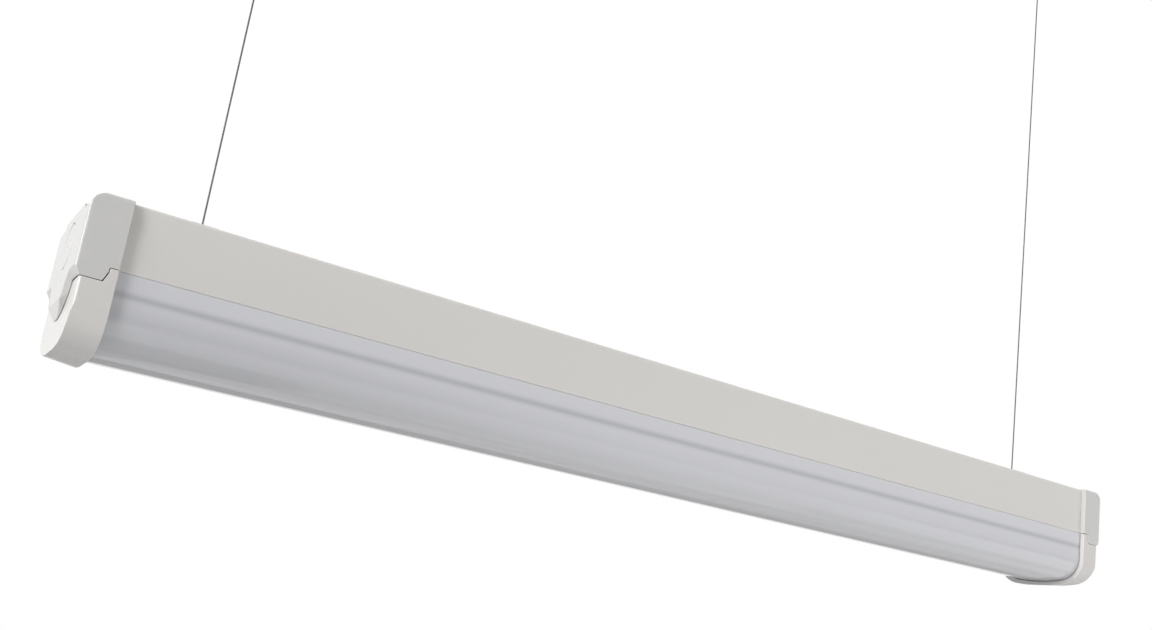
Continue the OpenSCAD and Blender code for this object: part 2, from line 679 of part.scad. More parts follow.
module hinge_leaves_diffuser() color("lightgray") at_light() for (s = [-1, 1]) translate([s * hinge_x, 0, 0])
    difference() {
        union() {
            block([-leaf_len / 2, body_half, hinge_z - leaf_clear - leaf_h],
                [leaf_len / 2, body_half + leaf_t, hinge_z - leaf_clear]);
            knuckle(-centre_knuckle / 2 + part_gap / 2, centre_knuckle - part_gap);
            block([-centre_knuckle / 2 + part_gap / 2, body_half, hinge_z - leaf_clear - leaf_t],
                [centre_knuckle / 2 - part_gap / 2, hinge_y, hinge_z - knuckle_r / 2]);
        }
        pin_bore();
    }
module hinge_pins() color("silver") at_light() for (s = [-1, 1])
    bar_x(s * hinge_x - leaf_len / 2, leaf_len, hinge_y, hinge_z, hinge_pin_r);

// Saddle on top of the housing that holds the ball of one wire
module saddle(side) color("silver") at_light() translate([side * wire_x, 0, 0]) difference() {
    union() {
        block([-saddle_l / 2, -saddle_w / 2, housing_top],
            [saddle_l / 2, saddle_w / 2, housing_top + saddle_t]);
        block([-hat_w / 2, -hat_w / 2, housing_top], [hat_w / 2, hat_w / 2, housing_top + hat_h + hat_wall]);
    }
    block([-hat_w / 2 + hat_wall, -hat_w / 2 + hat_wall, housing_top - over],
        [hat_w / 2 - hat_wall, hat_w / 2 - hat_wall, housing_top + hat_h]);
    bar_z(housing_top + hat_h - over, 2 * over, 0, 0, saddle_hole_r);
    translate([0, 0, housing_top + hat_h]) cylinder(h = 2 * hat_wall, r1 = saddle_hole_r,
        r2 = saddle_hole_r + 2 * hat_wall * tan(2 * end_swing), $fn = small_fn);
    for (t = [-1, 1]) bar_z(housing_top - over, saddle_t + 2 * over, t * saddle_screw_x, 0, screw_pass_r);
}
module saddle_screws() color("silver") at_light() for (s = [-1, 1]) for (t = [-1, 1])
    translate([s * wire_x + t * saddle_screw_x, 0, housing_top + saddle_t])
        screw(saddle_t + sheet + nut_h + screw_bite / 3, saddle_head_r, saddle_head_h);
module saddle_nuts() color("silver") at_light() for (s = [-1, 1]) for (t = [-1, 1])
    translate([s * wire_x + t * saddle_screw_x, 0, housing_top - sheet - nut_h]) difference() {
        cylinder(h = nut_h, r = nut_r, $fn = 6);
        translate([0, 0, -over]) cylinder(h = nut_h + 2 * over, r = screw_r + run_gap, $fn = small_fn);
    }

// Hanging wire with the ball swaged to its lower end
module wire(side) color("dimgray") at_wire(side) {
    bar_z(seam_z + ball_z, pivot_z - seam_z - ball_z, 0, 0, wire_r);
    translate([0, 0, seam_z + ball_z]) sphere(ball_r, $fn = large_fn);
}
// Free end of the wire, gripped in the barrel and led out of its side
module wire_tail(side) color("dimgray") at_wire(side) {
    bar_z(pivot_z + button_gap, tail_exit_z - tail_bend_r - pivot_z - button_gap, 0, 0, wire_r);
    translate([0, tail_bend_r, tail_exit_z - tail_bend_r]) rotate([90, 0, -90])
        rotate_extrude(angle = 90, $fn = large_fn) translate([tail_bend_r, 0]) circle(wire_r, $fn = small_fn);
    bar_y(tail_bend_r, tail_exit_y - tail_bend_r, 0, tail_exit_z, wire_r);
}

// Ceiling plate with two screw holes and the two ears of a clevis
module ceiling_plate(side) color("silver") at_wire(side) difference() {
    union() {
        intersection() {
            block([-plate_w / 2, -plate_l / 2, -plate_t], [plate_w / 2, plate_l / 2, 0]);
            bar_z(-plate_t, plate_t, 0, 0, plate_l / 2, large_fn);
        }
        for (t = [-1, 1]) translate([t * (eye_w / 2 + ear_gap + ear_t / 2), 0, 0]) {
            bar_x(-ear_t / 2, ear_t, 0, -pin_drop, ear_r, large_fn);
            block([-ear_t / 2, -ear_r, -pin_drop], [ear_t / 2, ear_r, -plate_t / 2]);
        }
    }
    bar_x(-plate_w, 2 * plate_w, 0, -pin_drop, clevis_pin_r + run_gap);
    for (t = [-1, 1]) bar_z(-plate_t - over, plate_t + 2 * over, 0, t * screw_offset, screw_hole_r);
}
module clevis_pins() color("lightgray") for (side = [-1, 1]) at_wire(side) difference() {
    union() {
        bar_x(-pin_end - seat_gap, 2 * pin_end + 3 * seat_gap + 2 * clip_t, 0, -pin_drop, clevis_pin_r);
        bar_x(-pin_end - seat_gap - pin_head_h, pin_head_h, 0, -pin_drop, pin_head_r);
    }
    difference() {
        bar_x(pin_end + seat_gap, clip_t + seat_gap, 0, -pin_drop, clevis_pin_r + over);
        bar_x(pin_end, clip_t + 3 * seat_gap, 0, -pin_drop, clevis_pin_r - clip_groove_d);
    }
}
module pin_clips() color("gray") for (side = [-1, 1]) at_wire(side) difference() {
    bar_x(pin_end + seat_gap * 3 / 2, clip_t, 0, -pin_drop, clip_r);
    bar_x(pin_end, clip_t + over, 0, -pin_drop, clevis_pin_r - clip_groove_d + run_gap);
    block([pin_end, -clevis_pin_r / 2, -pin_drop - 2 * clevis_pin_r],
        [pin_end + clip_t + over, clevis_pin_r / 2, -pin_drop]);
}

// Wire gripper: the eye hangs from the clevis pin, the barrel holds the collet and its spring
module gripper_body(side) color("silver") at_wire(side) difference() {
    union() {
        bar_x(-eye_w / 2, eye_w, 0, -pin_drop, eye_r, large_fn);
        block([-eye_w / 2, -neck_half, barrel_top - ear_t], [eye_w / 2, neck_half, -pin_drop]);
        bar_z(barrel_end, barrel_len, 0, 0, barrel_r, large_fn);
    }
    bar_x(-eye_w, 2 * eye_w, 0, -pin_drop, clevis_pin_r + run_gap);
    bar_z(barrel_end - over, nose_plug_h + over, 0, 0, nose_plug_r + run_gap);
    bar_z(barrel_end, cavity_top - barrel_end, 0, 0, cavity_r);
    bar_z(barrel_end, tail_exit_z + tail_hole_r - barrel_end, 0, 0, tail_hole_r);
    bar_y(0, barrel_r + over, 0, tail_exit_z, tail_hole_r);
}
module gripper_nose(side) color("silver") at_wire(side) translate([0, 0, barrel_end]) difference() {
    union() {
        bar_z(-over, nose_plug_h + over - run_gap, 0, 0, nose_plug_r);
        bar_z(-nose_flange_h, nose_flange_h - run_gap, 0, 0, barrel_r, large_fn);
    }
    translate([0, 0, nose_plug_h - seat_h])
        cylinder(h = seat_h, r1 = counter_r, r2 = seat_top_r, $fn = small_fn);
    bar_z(counter_z - barrel_end, nose_plug_h - seat_h - counter_z + barrel_end + over / 10, 0, 0, counter_r);
    bar_z(-nose_flange_h - over, nose_flange_h + 2 * over, 0, 0, stem_r + run_gap);
}
// Release plunger: a button below the nose, a stop inside it and a flared mouth for the wire
module plunger(side) color("white") at_wire(side) difference() {
    union() {
        bar_z(plunger_end, counter_z + stop_h - plunger_end, 0, 0, stem_r);
        bar_z(plunger_end, button_h, 0, 0, button_r);
        bar_z(counter_z + run_gap, stop_h, 0, 0, counter_r - run_gap);
    }
    bar_z(pivot_z - over / 10, counter_z - pivot_z + 2 * stop_h, 0, 0, channel_r);
    translate([0, 0, plunger_end - over / 100])
        cylinder(h = pivot_z - plunger_end, r1 = mouth_r, r2 = channel_r, $fn = small_fn);
}
module collet(side) color("goldenrod") at_wire(side) translate([0, 0, collet_z]) difference() {
    union() {
        bar_z(0, collet_h - collet_cone_h, 0, 0, counter_r - seat_gap);
        translate([0, 0, collet_h - collet_cone_h]) cylinder(h = collet_cone_h, r1 = counter_r - seat_gap,
            r2 = counter_r - seat_gap + (seat_top_r - counter_r) * collet_cone_h / seat_h,
            $fn = small_fn);
    }
    bar_z(-over, collet_h + 2 * over, 0, 0, wire_r + run_gap);
}
// Coil spring between the collet and the roof of the barrel
function spring_centre(t) = [spring_mean_r * cos(360 * spring_turns * t),
    spring_mean_r * sin(360 * spring_turns * t), spring_z0 + (spring_z1 - spring_z0) * t];
function spring_point(t, a) = spring_centre(t) + spring_wire_r * [cos(a) * cos(360 * spring_turns * t),
    cos(a) * sin(360 * spring_turns * t), sin(a)];
module spring(side) color("gray") at_wire(side) {
    n = spring_turns * spring_rings;
    k = spring_sides;
    points = [for (i = [0 : n]) for (j = [0 : k - 1]) spring_point(i / n, -360 * j / k)];
    centres = [for (i = [0 : n]) spring_centre(i / n)];
    gaps = [for (i = [0 : n]) for (j = [i + spring_rings / 2 : n]) norm(centres[i] - centres[j])];
    echo(spring_least_gap = min(gaps) - 2 * spring_wire_r);
    sides = [for (i = [0 : n - 1]) for (j = [0 : k - 1]) for (h = [0, 1])
        h == 0 ? [i * k + j, i * k + (j + 1) % k, (i + 1) * k + j]
               : [i * k + (j + 1) % k, (i + 1) * k + (j + 1) % k, (i + 1) * k + j]];
    ends = concat([for (j = [1 : k - 2]) [0, j + 1, j]],
        [for (j = [1 : k - 2]) [n * k, n * k + j, n * k + j + 1]]);
    polyhedron(points = points, faces = concat(sides, ends));
}

ceiling_plate(-1);  // ceiling_plate_left
ceiling_plate(1);  // ceiling_plate_right
clevis_pins();
pin_clips();
gripper_body(-1);  // gripper_body_left
gripper_body(1);  // gripper_body_right
gripper_nose(-1);  // gripper_nose_left
gripper_nose(1);  // gripper_nose_right
plunger(-1);  // plunger_left
plunger(1);  // plunger_right
collet(-1);  // collet_left
collet(1);  // collet_right
spring(-1);  // spring_left
spring(1);  // spring_right
wire_tail(-1);  // wire_tail_left
wire_tail(1);  // wire_tail_right
wire(-1);  // wire_left
wire(1);  // wire_right
saddle(-1);  // saddle_left
saddle(1);  // saddle_right
saddle_screws();
saddle_nuts();
housing();
at_end(-1) upper_cap();  // upper_cap_left
at_end(1) upper_cap();  // upper_cap_right
cap_screws();
cable_grommet();
gear_tray();
tray_screws();
led_board(-1);  // led_board_left
led_board(1);  // led_board_right
led_chips();
board_screws();
driver_case();
driver_board();
driver_parts();
driver_screws();
terminal_block();
terminal_screws();
supply_leads();
led_leads();
diffuser();
at_end(-1) lower_cap();  // lower_cap_left
at_end(1) lower_cap();  // lower_cap_right
seal_strips();
hinge_leaves_housing();
hinge_leaves_diffuser();
hinge_pins();
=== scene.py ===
# %% [markdown]
# # A slim shop light hung on two steel wires
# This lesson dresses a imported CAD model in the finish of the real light. The model is the fixed
# frame: it gives every piece its place in metres, with the origin on the ceiling between the two
# ceiling plates, +X along the light, +Y to its hinged back and +Z up. Nothing below moves or
# resizes it.

# %% Load the frame
import math

import bpy
import numpy as np
from mathutils import Euler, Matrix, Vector


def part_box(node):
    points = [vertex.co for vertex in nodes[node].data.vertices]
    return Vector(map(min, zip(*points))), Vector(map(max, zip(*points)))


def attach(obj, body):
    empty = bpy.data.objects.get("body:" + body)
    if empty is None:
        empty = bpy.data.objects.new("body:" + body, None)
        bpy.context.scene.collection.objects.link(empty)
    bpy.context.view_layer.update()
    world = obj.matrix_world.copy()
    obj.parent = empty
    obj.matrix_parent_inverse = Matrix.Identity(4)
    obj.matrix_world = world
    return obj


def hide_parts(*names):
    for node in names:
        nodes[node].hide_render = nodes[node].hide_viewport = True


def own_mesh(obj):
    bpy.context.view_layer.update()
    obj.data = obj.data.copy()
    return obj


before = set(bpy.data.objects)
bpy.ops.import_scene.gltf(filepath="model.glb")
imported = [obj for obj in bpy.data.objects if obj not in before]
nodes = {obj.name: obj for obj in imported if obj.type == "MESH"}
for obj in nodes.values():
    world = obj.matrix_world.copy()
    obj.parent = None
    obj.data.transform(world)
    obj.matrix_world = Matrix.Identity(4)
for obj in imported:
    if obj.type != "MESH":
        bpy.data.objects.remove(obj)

MM = 0.001
SIDES = ("left", "right")

scene = bpy.context.scene
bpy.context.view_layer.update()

# %% [markdown]
# ## The camera
# A product picture like this is taken from below and from the left, with a lens a little wider than
# normal. The camera's place and turn were worked out from the light's own straight edges, whose
# real lengths are known, so the render can be laid over the picture. A small shift stands for a
# crop that isn't centred on the lens.

# %% Camera
IMAGE_WIDTH, IMAGE_HEIGHT = 1152, 630
LENS_CENTRE_PIXEL = (589.16, 360.62)
SENSOR_WIDTH_MM, FOCAL_LENGTH_MM = 36, 37.31
CAMERA_PLACE = (-0.3626, -0.4905, -0.5410)
CAMERA_TURN_DEGREES = (103.772, -7.8783, -33.3124)

camera_data = bpy.data.cameras.new("picture_camera")
camera_data.sensor_width = SENSOR_WIDTH_MM
camera_data.lens = FOCAL_LENGTH_MM
camera_data.shift_x = (IMAGE_WIDTH / 2 - LENS_CENTRE_PIXEL[0]) / IMAGE_WIDTH
camera_data.shift_y = (LENS_CENTRE_PIXEL[1] - IMAGE_HEIGHT / 2) / IMAGE_WIDTH
camera = bpy.data.objects.new("picture_camera", camera_data)
camera.location = CAMERA_PLACE
camera.rotation_euler = Euler([math.radians(turn) for turn in CAMERA_TURN_DEGREES])
scene.collection.objects.link(camera)
scene.camera = camera
print("camera shift", round(camera_data.shift_x, 4), round(camera_data.shift_y, 4))

# %% [markdown]
# ## Surfaces from formulas
# Each new piece is a grid of points worked out as whole numpy arrays: one parameter runs along the
# piece, the other round its section. The helper below turns such a grid into a mesh. The section is
# a closed loop, so its last column joins its first, and each open end gets one flat face. That
# makes the piece a closed body with its faces outward.

# %% Grid to mesh
def grid_faces(rings, points):
    """Quads between neighbouring rings; each ring closes on itself.
    Face (i, j) joins points j and j + 1 of ring i to the same points of ring i + 1."""
    i = np.arange(rings - 1)[:, None]
    j = np.arange(points)[None, :]
    here, beside = i * points + j, i * points + (j + 1) % points
    return np.stack([here, beside, beside + points, here + points], axis=-1).reshape(-1, 4)


def grid_object(name, grid):
    """A closed mesh object from an array of shape (rings, points, 3), in metres. All its faces are
    quads, apart from the two that close its ends."""
    rings, points = grid.shape[:2]
    faces = grid_faces(rings, points).tolist()
    faces.append(list(range(points))[::-1])
    faces.append(list(range((rings - 1) * points, rings * points)))
    mesh = bpy.data.meshes.new(name)
    mesh.from_pydata(grid.reshape(-1, 3).tolist(), [], faces)
    mesh.validate()
    obj = bpy.data.objects.new(name, mesh)
    scene.collection.objects.link(obj)
    return obj


def smooth_by_angle(obj, degrees):
    """Shades smooth, and keeps an edge sharp where its two faces meet at more than the angle."""
    mesh = obj.data
    mesh.polygons.foreach_set("use_smooth", np.ones(len(mesh.polygons), bool))
    mesh.set_sharp_from_angle(angle=math.radians(degrees))


def full_turn(points):
    """Angles spread evenly once round a circle."""
    return np.linspace(0, 2 * math.pi, points, endpoint=False)


# %% [markdown]
# ## The hanging wires
# Each wire is a thin steel strand: six outer wires laid round a core, with a ball swaged to the
# lower end. It could be a plain rod, but the lay catches the light in fine slanting flecks close
# up, so the strand's lobed section is carried up the wire and turned steadily. Seen from the core's
# centre, one outer wire of radius s lies at distance 2 s, which gives the radius of the lobes by
# the cosine rule. The ball is a turned profile with a fine raised line round its middle, left by
# the dies that pressed it on.

# %% Wire sizes
WIRE_D = 0.8 * MM
LAY_LENGTH = 6.5 * MM
OUTER_WIRES = 6
OUTER_WIRE_R = WIRE_D / 6
RINGS_PER_LAY, POINTS_PER_LOBE = 12, 8
STRAND_SMOOTH_DEGREES = 70

CORD_STEPS = 16

BALL_R = 2 * MM
SWAGE_HEIGHT = 0.02 * MM
# Angles of latitude on the ball, in radians: half the swage line, and where the flats cut the poles
SWAGE_LATITUDE = 0.05
FLAT_BELOW, FLAT_ABOVE = 0.12, 0.2


# %% Strand and turned part
def lobed_radius(angle):
    """Radius of the strand's outline: with a the angle from the nearest outer wire's centre and s
    that wire's radius, the far crossing of its circle, 2 s cos a + sqrt(s squared - (2 s sin a)
    squared)."""
    lobe = 2 * math.pi / OUTER_WIRES
    a = (angle + lobe / 2) % lobe - lobe / 2
    s = OUTER_WIRE_R
    return 2 * s * np.cos(a) + np.sqrt(np.maximum(s**2 - (2 * s * np.sin(a)) ** 2, 0))


def strand(name, foot, length):
    """The strand's outline carried straight up from its foot, turned once per lay length."""
    rings = round(length / LAY_LENGTH * RINGS_PER_LAY) + 1
    z = np.linspace(0, length, rings)[:, None]
    angle = full_turn(OUTER_WIRES * POINTS_PER_LOBE)[None, :]
    radius = lobed_radius(angle)
    turned = angle + 2 * math.pi * z / LAY_LENGTH
    grid = np.stack([foot[0] + radius * np.cos(turned), foot[1] + radius * np.sin(turned),
                     foot[2] + z + 0 * angle], axis=-1)
    return grid_object(name, grid)


def turned_part(name, centre, profile, points):
    """A profile of (radius, height) rows turned round the vertical through a centre point."""
    r, z = np.array(profile).T[:, :, None]
    angle = full_turn(points)[None, :]
    grid = np.stack([centre[0] + r * np.cos(angle), centre[1] + r * np.sin(angle),
                     centre[2] + z + 0 * angle], axis=-1)
    return grid_object(name, grid)


# %% Wires and balls
new_pieces = []

latitude = np.linspace(-math.pi / 2 + FLAT_BELOW, math.pi / 2 - FLAT_ABOVE, 25)
swage_line = SWAGE_HEIGHT * np.exp(-((latitude / SWAGE_LATITUDE) ** 2))
ball_profile = np.stack([BALL_R * np.cos(latitude) + swage_line - SWAGE_HEIGHT,
                         (BALL_R - SWAGE_HEIGHT) * np.sin(latitude)], axis=-1)
for side in SIDES:
    low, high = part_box("wire_" + side)
    centre = Vector(((low.x + high.x) / 2, (low.y + high.y) / 2, low.z + BALL_R))
    length = high.z - centre.z
    wire = strand("hanging_wire_" + side, centre, length)
    smooth_by_angle(wire, degrees=STRAND_SMOOTH_DEGREES)
    ball = turned_part("wire_ball_" + side, centre, ball_profile, points=64)
    smooth_by_angle(ball, degrees=50)
    for piece in (wire, ball):
        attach(piece, "wire_" + side)
        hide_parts("wire_" + side)
        new_pieces.append((piece, "wire_steel"))
    path = [(centre.x, centre.y, centre.z + length * step / CORD_STEPS)
            for step in range(CORD_STEPS + 1)]
    print(wire.name, "is", round(length / MM, 2), "mm long with", len(wire.data.polygons), "faces")

# %% [markdown]
# ## Outlines that are carried along the light
# The housing is bent from sheet and the diffuser is extruded, so each is one outline across the
# light, carried from end to end. The outlines are written as the corners a drawing would show; the
# rounding below then gives each corner its bend. Heights are measured in mm from the seam between
# the two pieces. The solids keep a wider gap at the seam and at the caps than the real light shows,
# and the dressed pieces close it down to a thin line.

# %% Section sizes
SHEET = 1.0
HOUSING_EDGE_R, HOUSING_BEND_R, INNER_BEND_R, LIP_EDGE_R = 1.5, 0.5, 0.3, 0.15
SOLID_HALF_GAP, SEAM_HALF_GAP = 0.15, 0.03
LIP_IN = 19.6
CAP_HALF, CAP_DROP = 31.0, 33.0
CORNER_R, BELLY_R = 16.0, 120.0
DIFFUSER_WALL = 1.6
DIFFUSER_EDGE_R = 0.25
LEDGE_W, LEDGE_T, LEDGE_SINK = 2.25, 1.4, 0.5
RIB_DEPTH, RIB_H, RIB_W = 8.0, 1.4, 0.8
NOTCH_FROM_RIM, NOTCH_Z = 3.15, -5.95

SEAM_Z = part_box("housing")[0].z / MM - SOLID_HALF_GAP
HOUSING_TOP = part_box("housing")[1].z / MM - SEAM_Z
BODY_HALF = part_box("housing")[1].y / MM
RIM_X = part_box("housing")[1].x / MM + SOLID_HALF_GAP
WIRE_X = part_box("wire_right")[1].x / MM - BALL_R / MM
print("the seam lies", round(-SEAM_Z, 2), "mm below the ceiling")

# %% Outline helpers
LEAST_TURN = math.radians(20)
SIDE_SHARE = 0.45
SAME_POINT = 1e-6


def rounded(corners, radius, steps=6):
    """A closed outline with its corners eased. Each corner gives way to a quadratic curve that
    leaves its two sides one radius away from it, less on a short side. Radius is one number or one
    a corner; where the outline turns by less than the least turn the point stays as it is."""
    points = np.array(corners, float)
    back, ahead = np.roll(points, 1, 0) - points, np.roll(points, -1, 0) - points
    back_len, ahead_len = np.linalg.norm(back, axis=1), np.linalg.norm(ahead, axis=1)
    back, ahead = back / back_len[:, None], ahead / ahead_len[:, None]
    turns = np.sum(-back * ahead, axis=1) < math.cos(LEAST_TURN)
    reach = np.minimum(np.minimum(back_len, ahead_len) * SIDE_SHARE, radius) * turns
    t = np.linspace(0, 1, steps)[None, :, None]
    start, end = points + back * reach[:, None], points + ahead * reach[:, None]
    curve = (1 - t) ** 2 * start[:, None] + 2 * t * (1 - t) * points[:, None] + t**2 * end[:, None]
    flat = curve.reshape(-1, 2)
    return flat[np.linalg.norm(flat - np.roll(flat, 1, 0), axis=1) > SAME_POINT]


def carried(name, outline, stations):
    """An outline of (y, z) rows, or one outline for each station, carried along X, in mm from the
    seam, as a closed body in metres."""
    stations = np.array(stations, float)
    outlines = np.broadcast_to(outline, (len(stations),) + np.shape(outline)[-2:])
    x = np.broadcast_to(stations[:, None], outlines.shape[:2])
    grid = np.stack([x, outlines[..., 0], outlines[..., 1] + SEAM_Z], axis=-1) * MM
    return grid_object(name, grid)


# %% [markdown]
# ## Housing
# The housing is one strip of sheet steel bent to a channel with two inward lips. A bent sheet never
# has a sharp corner: the tight bend along the bottom draws the soft dark line above the diffuser,
# and the wider one softens the edge along the top. Its holes are cut last: four for the saddles'
# screws, four for the caps' screws and one for the cable's grommet in the roof, and six for the
# tray's screws in the lips.

# %% Housing outline
inner = BODY_HALF - SHEET
foot, lip_top = SEAM_HALF_GAP, SEAM_HALF_GAP + SHEET
channel = [(-BODY_HALF, HOUSING_TOP), (-BODY_HALF, foot), (-LIP_IN, foot), (-LIP_IN, lip_top),
           (-inner, lip_top), (-inner, HOUSING_TOP - SHEET), (inner, HOUSING_TOP - SHEET),
           (inner, lip_top), (LIP_IN, lip_top), (LIP_IN, foot), (BODY_HALF, foot),
           (BODY_HALF, HOUSING_TOP)]
half_bends = [HOUSING_EDGE_R, HOUSING_BEND_R, LIP_EDGE_R, LIP_EDGE_R, INNER_BEND_R, INNER_BEND_R]
housing_half_len = RIM_X - SEAM_HALF_GAP
housing = carried("housing_channel", rounded(channel, half_bends + half_bends[::-1]),
                  [-housing_half_len, housing_half_len])

# %% Housing holes
SCREW_HOLE_R, GROMMET_HOLE_R = 1.6, 7.0
SADDLE_SCREW_X = 12.5
CAP_SCREW_INSET, CAP_SCREW_Y = 7.0, 18.5
TRAY_SCREW_X, TRAY_SCREW_Y = 247.95, 22.1
GROMMET_X = -75.0
CUTTER_HALF_DEPTH = 2.0


def hole_cutter(x, y, z, radius):
    """An upright cylinder, in mm from the seam, whose middle is at height z."""
    profile = np.array([(radius, -CUTTER_HALF_DEPTH), (radius, CUTTER_HALF_DEPTH)]) * MM
    return turned_part("cutter", (x * MM, y * MM, (z + SEAM_Z) * MM), profile, points=48)


def cut_holes(obj, cutters):
    """Takes the cutters away from the piece with a Boolean and keeps the finished mesh."""
    for cutter in cutters:
        modifier = obj.modifiers.new("hole", "BOOLEAN")
        modifier.object = cutter
        modifier.operation = "DIFFERENCE"
        modifier.solver = "EXACT"
    bpy.context.view_layer.update()
    evaluated = obj.evaluated_get(bpy.context.evaluated_depsgraph_get())
    finished = bpy.data.meshes.new_from_object(evaluated)
    obj.modifiers.clear()
    obj.data = finished
    for cutter in cutters:
        bpy.data.objects.remove(cutter)


roof_z, lip_z = HOUSING_TOP - SHEET / 2, foot + SHEET / 2
holes = [(s * WIRE_X + t * SADDLE_SCREW_X, 0, roof_z, SCREW_HOLE_R)
         for s in (-1, 1) for t in (-1, 1)]
holes += [(s * (RIM_X - CAP_SCREW_INSET), t * CAP_SCREW_Y, roof_z, SCREW_HOLE_R)
          for s in (-1, 1) for t in (-1, 1)]
holes += [(x, s * TRAY_SCREW_Y, lip_z, SCREW_HOLE_R)
          for x in (-TRAY_SCREW_X, 0, TRAY_SCREW_X) for s in (-1, 1)]
holes += [(GROMMET_X, 0, roof_z, GROMMET_HOLE_R)]
cut_holes(housing, [hole_cutter(*hole) for hole in holes])
smooth_by_angle(housing, degrees=35)
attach(housing, "luminaire")
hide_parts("housing")
new_pieces.append((housing, "housing_paint"))
print("housing:", len(holes), "holes,", len(housing.data.polygons), "faces")

# %% [markdown]
# ## Diffuser
# The diffuser is an opal plastic extrusion: straight sides, rounded corners and a shallow belly,
# with an inner ledge for the seal near the top and a low stiffening rib below it. The outline is
# worked out from the same radii as the drawing, so the reflections run along it without facets. At
# each end its top is notched, so that it clears the upper cap when it swings open.

# %% Diffuser
def arch(inset, corner_steps=20, belly_steps=40):
    """Points from the top of the front side, round the belly, to the top of the back side: the
    corner circle meets both the straight side and the belly circle at a tangent."""
    corner_y = CAP_HALF - CORNER_R
    belly_z = BELLY_R - CAP_DROP
    corner_z = belly_z - math.sqrt((BELLY_R - CORNER_R) ** 2 - corner_y**2)
    tangent = math.asin(corner_y / (BELLY_R - CORNER_R))
    corner = np.linspace(0, math.pi / 2 - tangent, corner_steps)
    belly = np.linspace(-tangent, tangent, belly_steps)[1:-1]
    front = np.stack([-corner_y - (CORNER_R - inset) * np.cos(corner),
                      corner_z - (CORNER_R - inset) * np.sin(corner)], axis=1)
    under = np.stack([(BELLY_R - inset) * np.sin(belly),
                      belly_z - (BELLY_R - inset) * np.cos(belly)], axis=1)
    return np.concatenate([front, under, front[::-1] * (-1, 1)])


def diffuser_outline():
    """The wall between the outer and the inner arch, closed over its two top edges. The ledge and
    the rib stand on its inner side. It starts at the lowest point and runs to the back first."""
    top = -SEAM_HALF_GAP
    ledge_top = top - LEDGE_SINK
    wall_y = BODY_HALF - DIFFUSER_WALL
    back = [(BODY_HALF, top), (wall_y, top), (wall_y, ledge_top), (wall_y - LEDGE_W, ledge_top),
            (wall_y - LEDGE_W, ledge_top - LEDGE_T), (wall_y, ledge_top - LEDGE_T),
            (wall_y, RIB_H / 2 - RIB_DEPTH), (wall_y - RIB_W, -RIB_DEPTH),
            (wall_y, -RIB_H / 2 - RIB_DEPTH)]
    front = [(-y, z) for y, z in back[::-1]]
    outer, inside = arch(CAP_HALF - BODY_HALF), arch(CAP_HALF - BODY_HALF + DIFFUSER_WALL)
    middle = len(outer) // 2
    corners = np.concatenate([outer[middle:], back, inside[::-1], front, outer[:middle]])
    return rounded(corners, DIFFUSER_EDGE_R)


def notched(outline, height):
    """The outline cut off flat at a height: the points above it, on each side, are spread evenly
    along the cut, from the outer to the inner wall."""
    cut = outline.copy()
    for side in (outline[:, 0] > 0, outline[:, 0] < 0):
        above = np.flatnonzero(side & (outline[:, 1] > height))
        cut[above, 0] = np.linspace(outline[above[0], 0], outline[above[-1], 0], len(above))
        cut[above, 1] = height
    return cut


outline = diffuser_outline()
low_outline = notched(outline, NOTCH_Z)
end_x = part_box("diffuser")[1].x / MM
notch_x = RIM_X + NOTCH_FROM_RIM
stations = [-end_x, -notch_x, -notch_x, notch_x, notch_x, end_x]
outlines = np.stack([low_outline, low_outline, outline, outline, low_outline, low_outline])
diffuser = carried("opal_diffuser", outlines, stations)
smooth_by_angle(diffuser, degrees=30)
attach(diffuser, "cover")
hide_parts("diffuser")
new_pieces.append((diffuser, "opal_plastic"))
print("diffuser:", len(outline), "points round,", len(diffuser.data.polygons), "faces")

# %% [markdown]
# ## Round wire that follows a curve
# A spring and the spare end of a strand are both a round section carried along a curve. At each
# point of the curve the section stands square to it: one of its axes is given, the other is the
# tangent crossed with the first, so that the section never flips over.

# %% Wire along a curve
def wire_along(name, path, across, radius):
    """A section carried along a path of shape (n, 3). Across is a unit vector, or one a point,
    square to the path, and radius has shape (n, points): its columns are angles round the
    section."""
    tangent = np.gradient(path, axis=0)
    tangent /= np.linalg.norm(tangent, axis=1)[:, None]
    across = np.broadcast_to(across, path.shape)
    up = np.cross(tangent, across)
    angle = full_turn(radius.shape[1])
    grid = (path[:, None] + (radius * np.cos(angle))[..., None] * across[:, None]
            + (radius * np.sin(angle))[..., None] * up[:, None])
    return grid_object(name, grid)


# %% [markdown]
# ## Gripper springs
# Each gripper's spring is a helix whose turns lie close at both ends and open in the middle: its
# height runs as t minus a part of sin(2 pi t), whose slope is smallest at t = 0 and t = 1. The wire
# is a little thinner at its two tips, where a real spring is ground. It is built at its free
# length;
# on the real gripper it shortens towards its fixed upper end when the plunger is pushed up.

# %% Springs
SPRING_WIRE_R, SPRING_MEAN_R, SPRING_TURNS = 0.35, 2.6, 6
END_CLOSING = 0.085
TIP_THINNING, TIP_SHARPNESS = 0.35, 90
RINGS_PER_TURN, POINTS_ROUND_SPRING = 40, 14

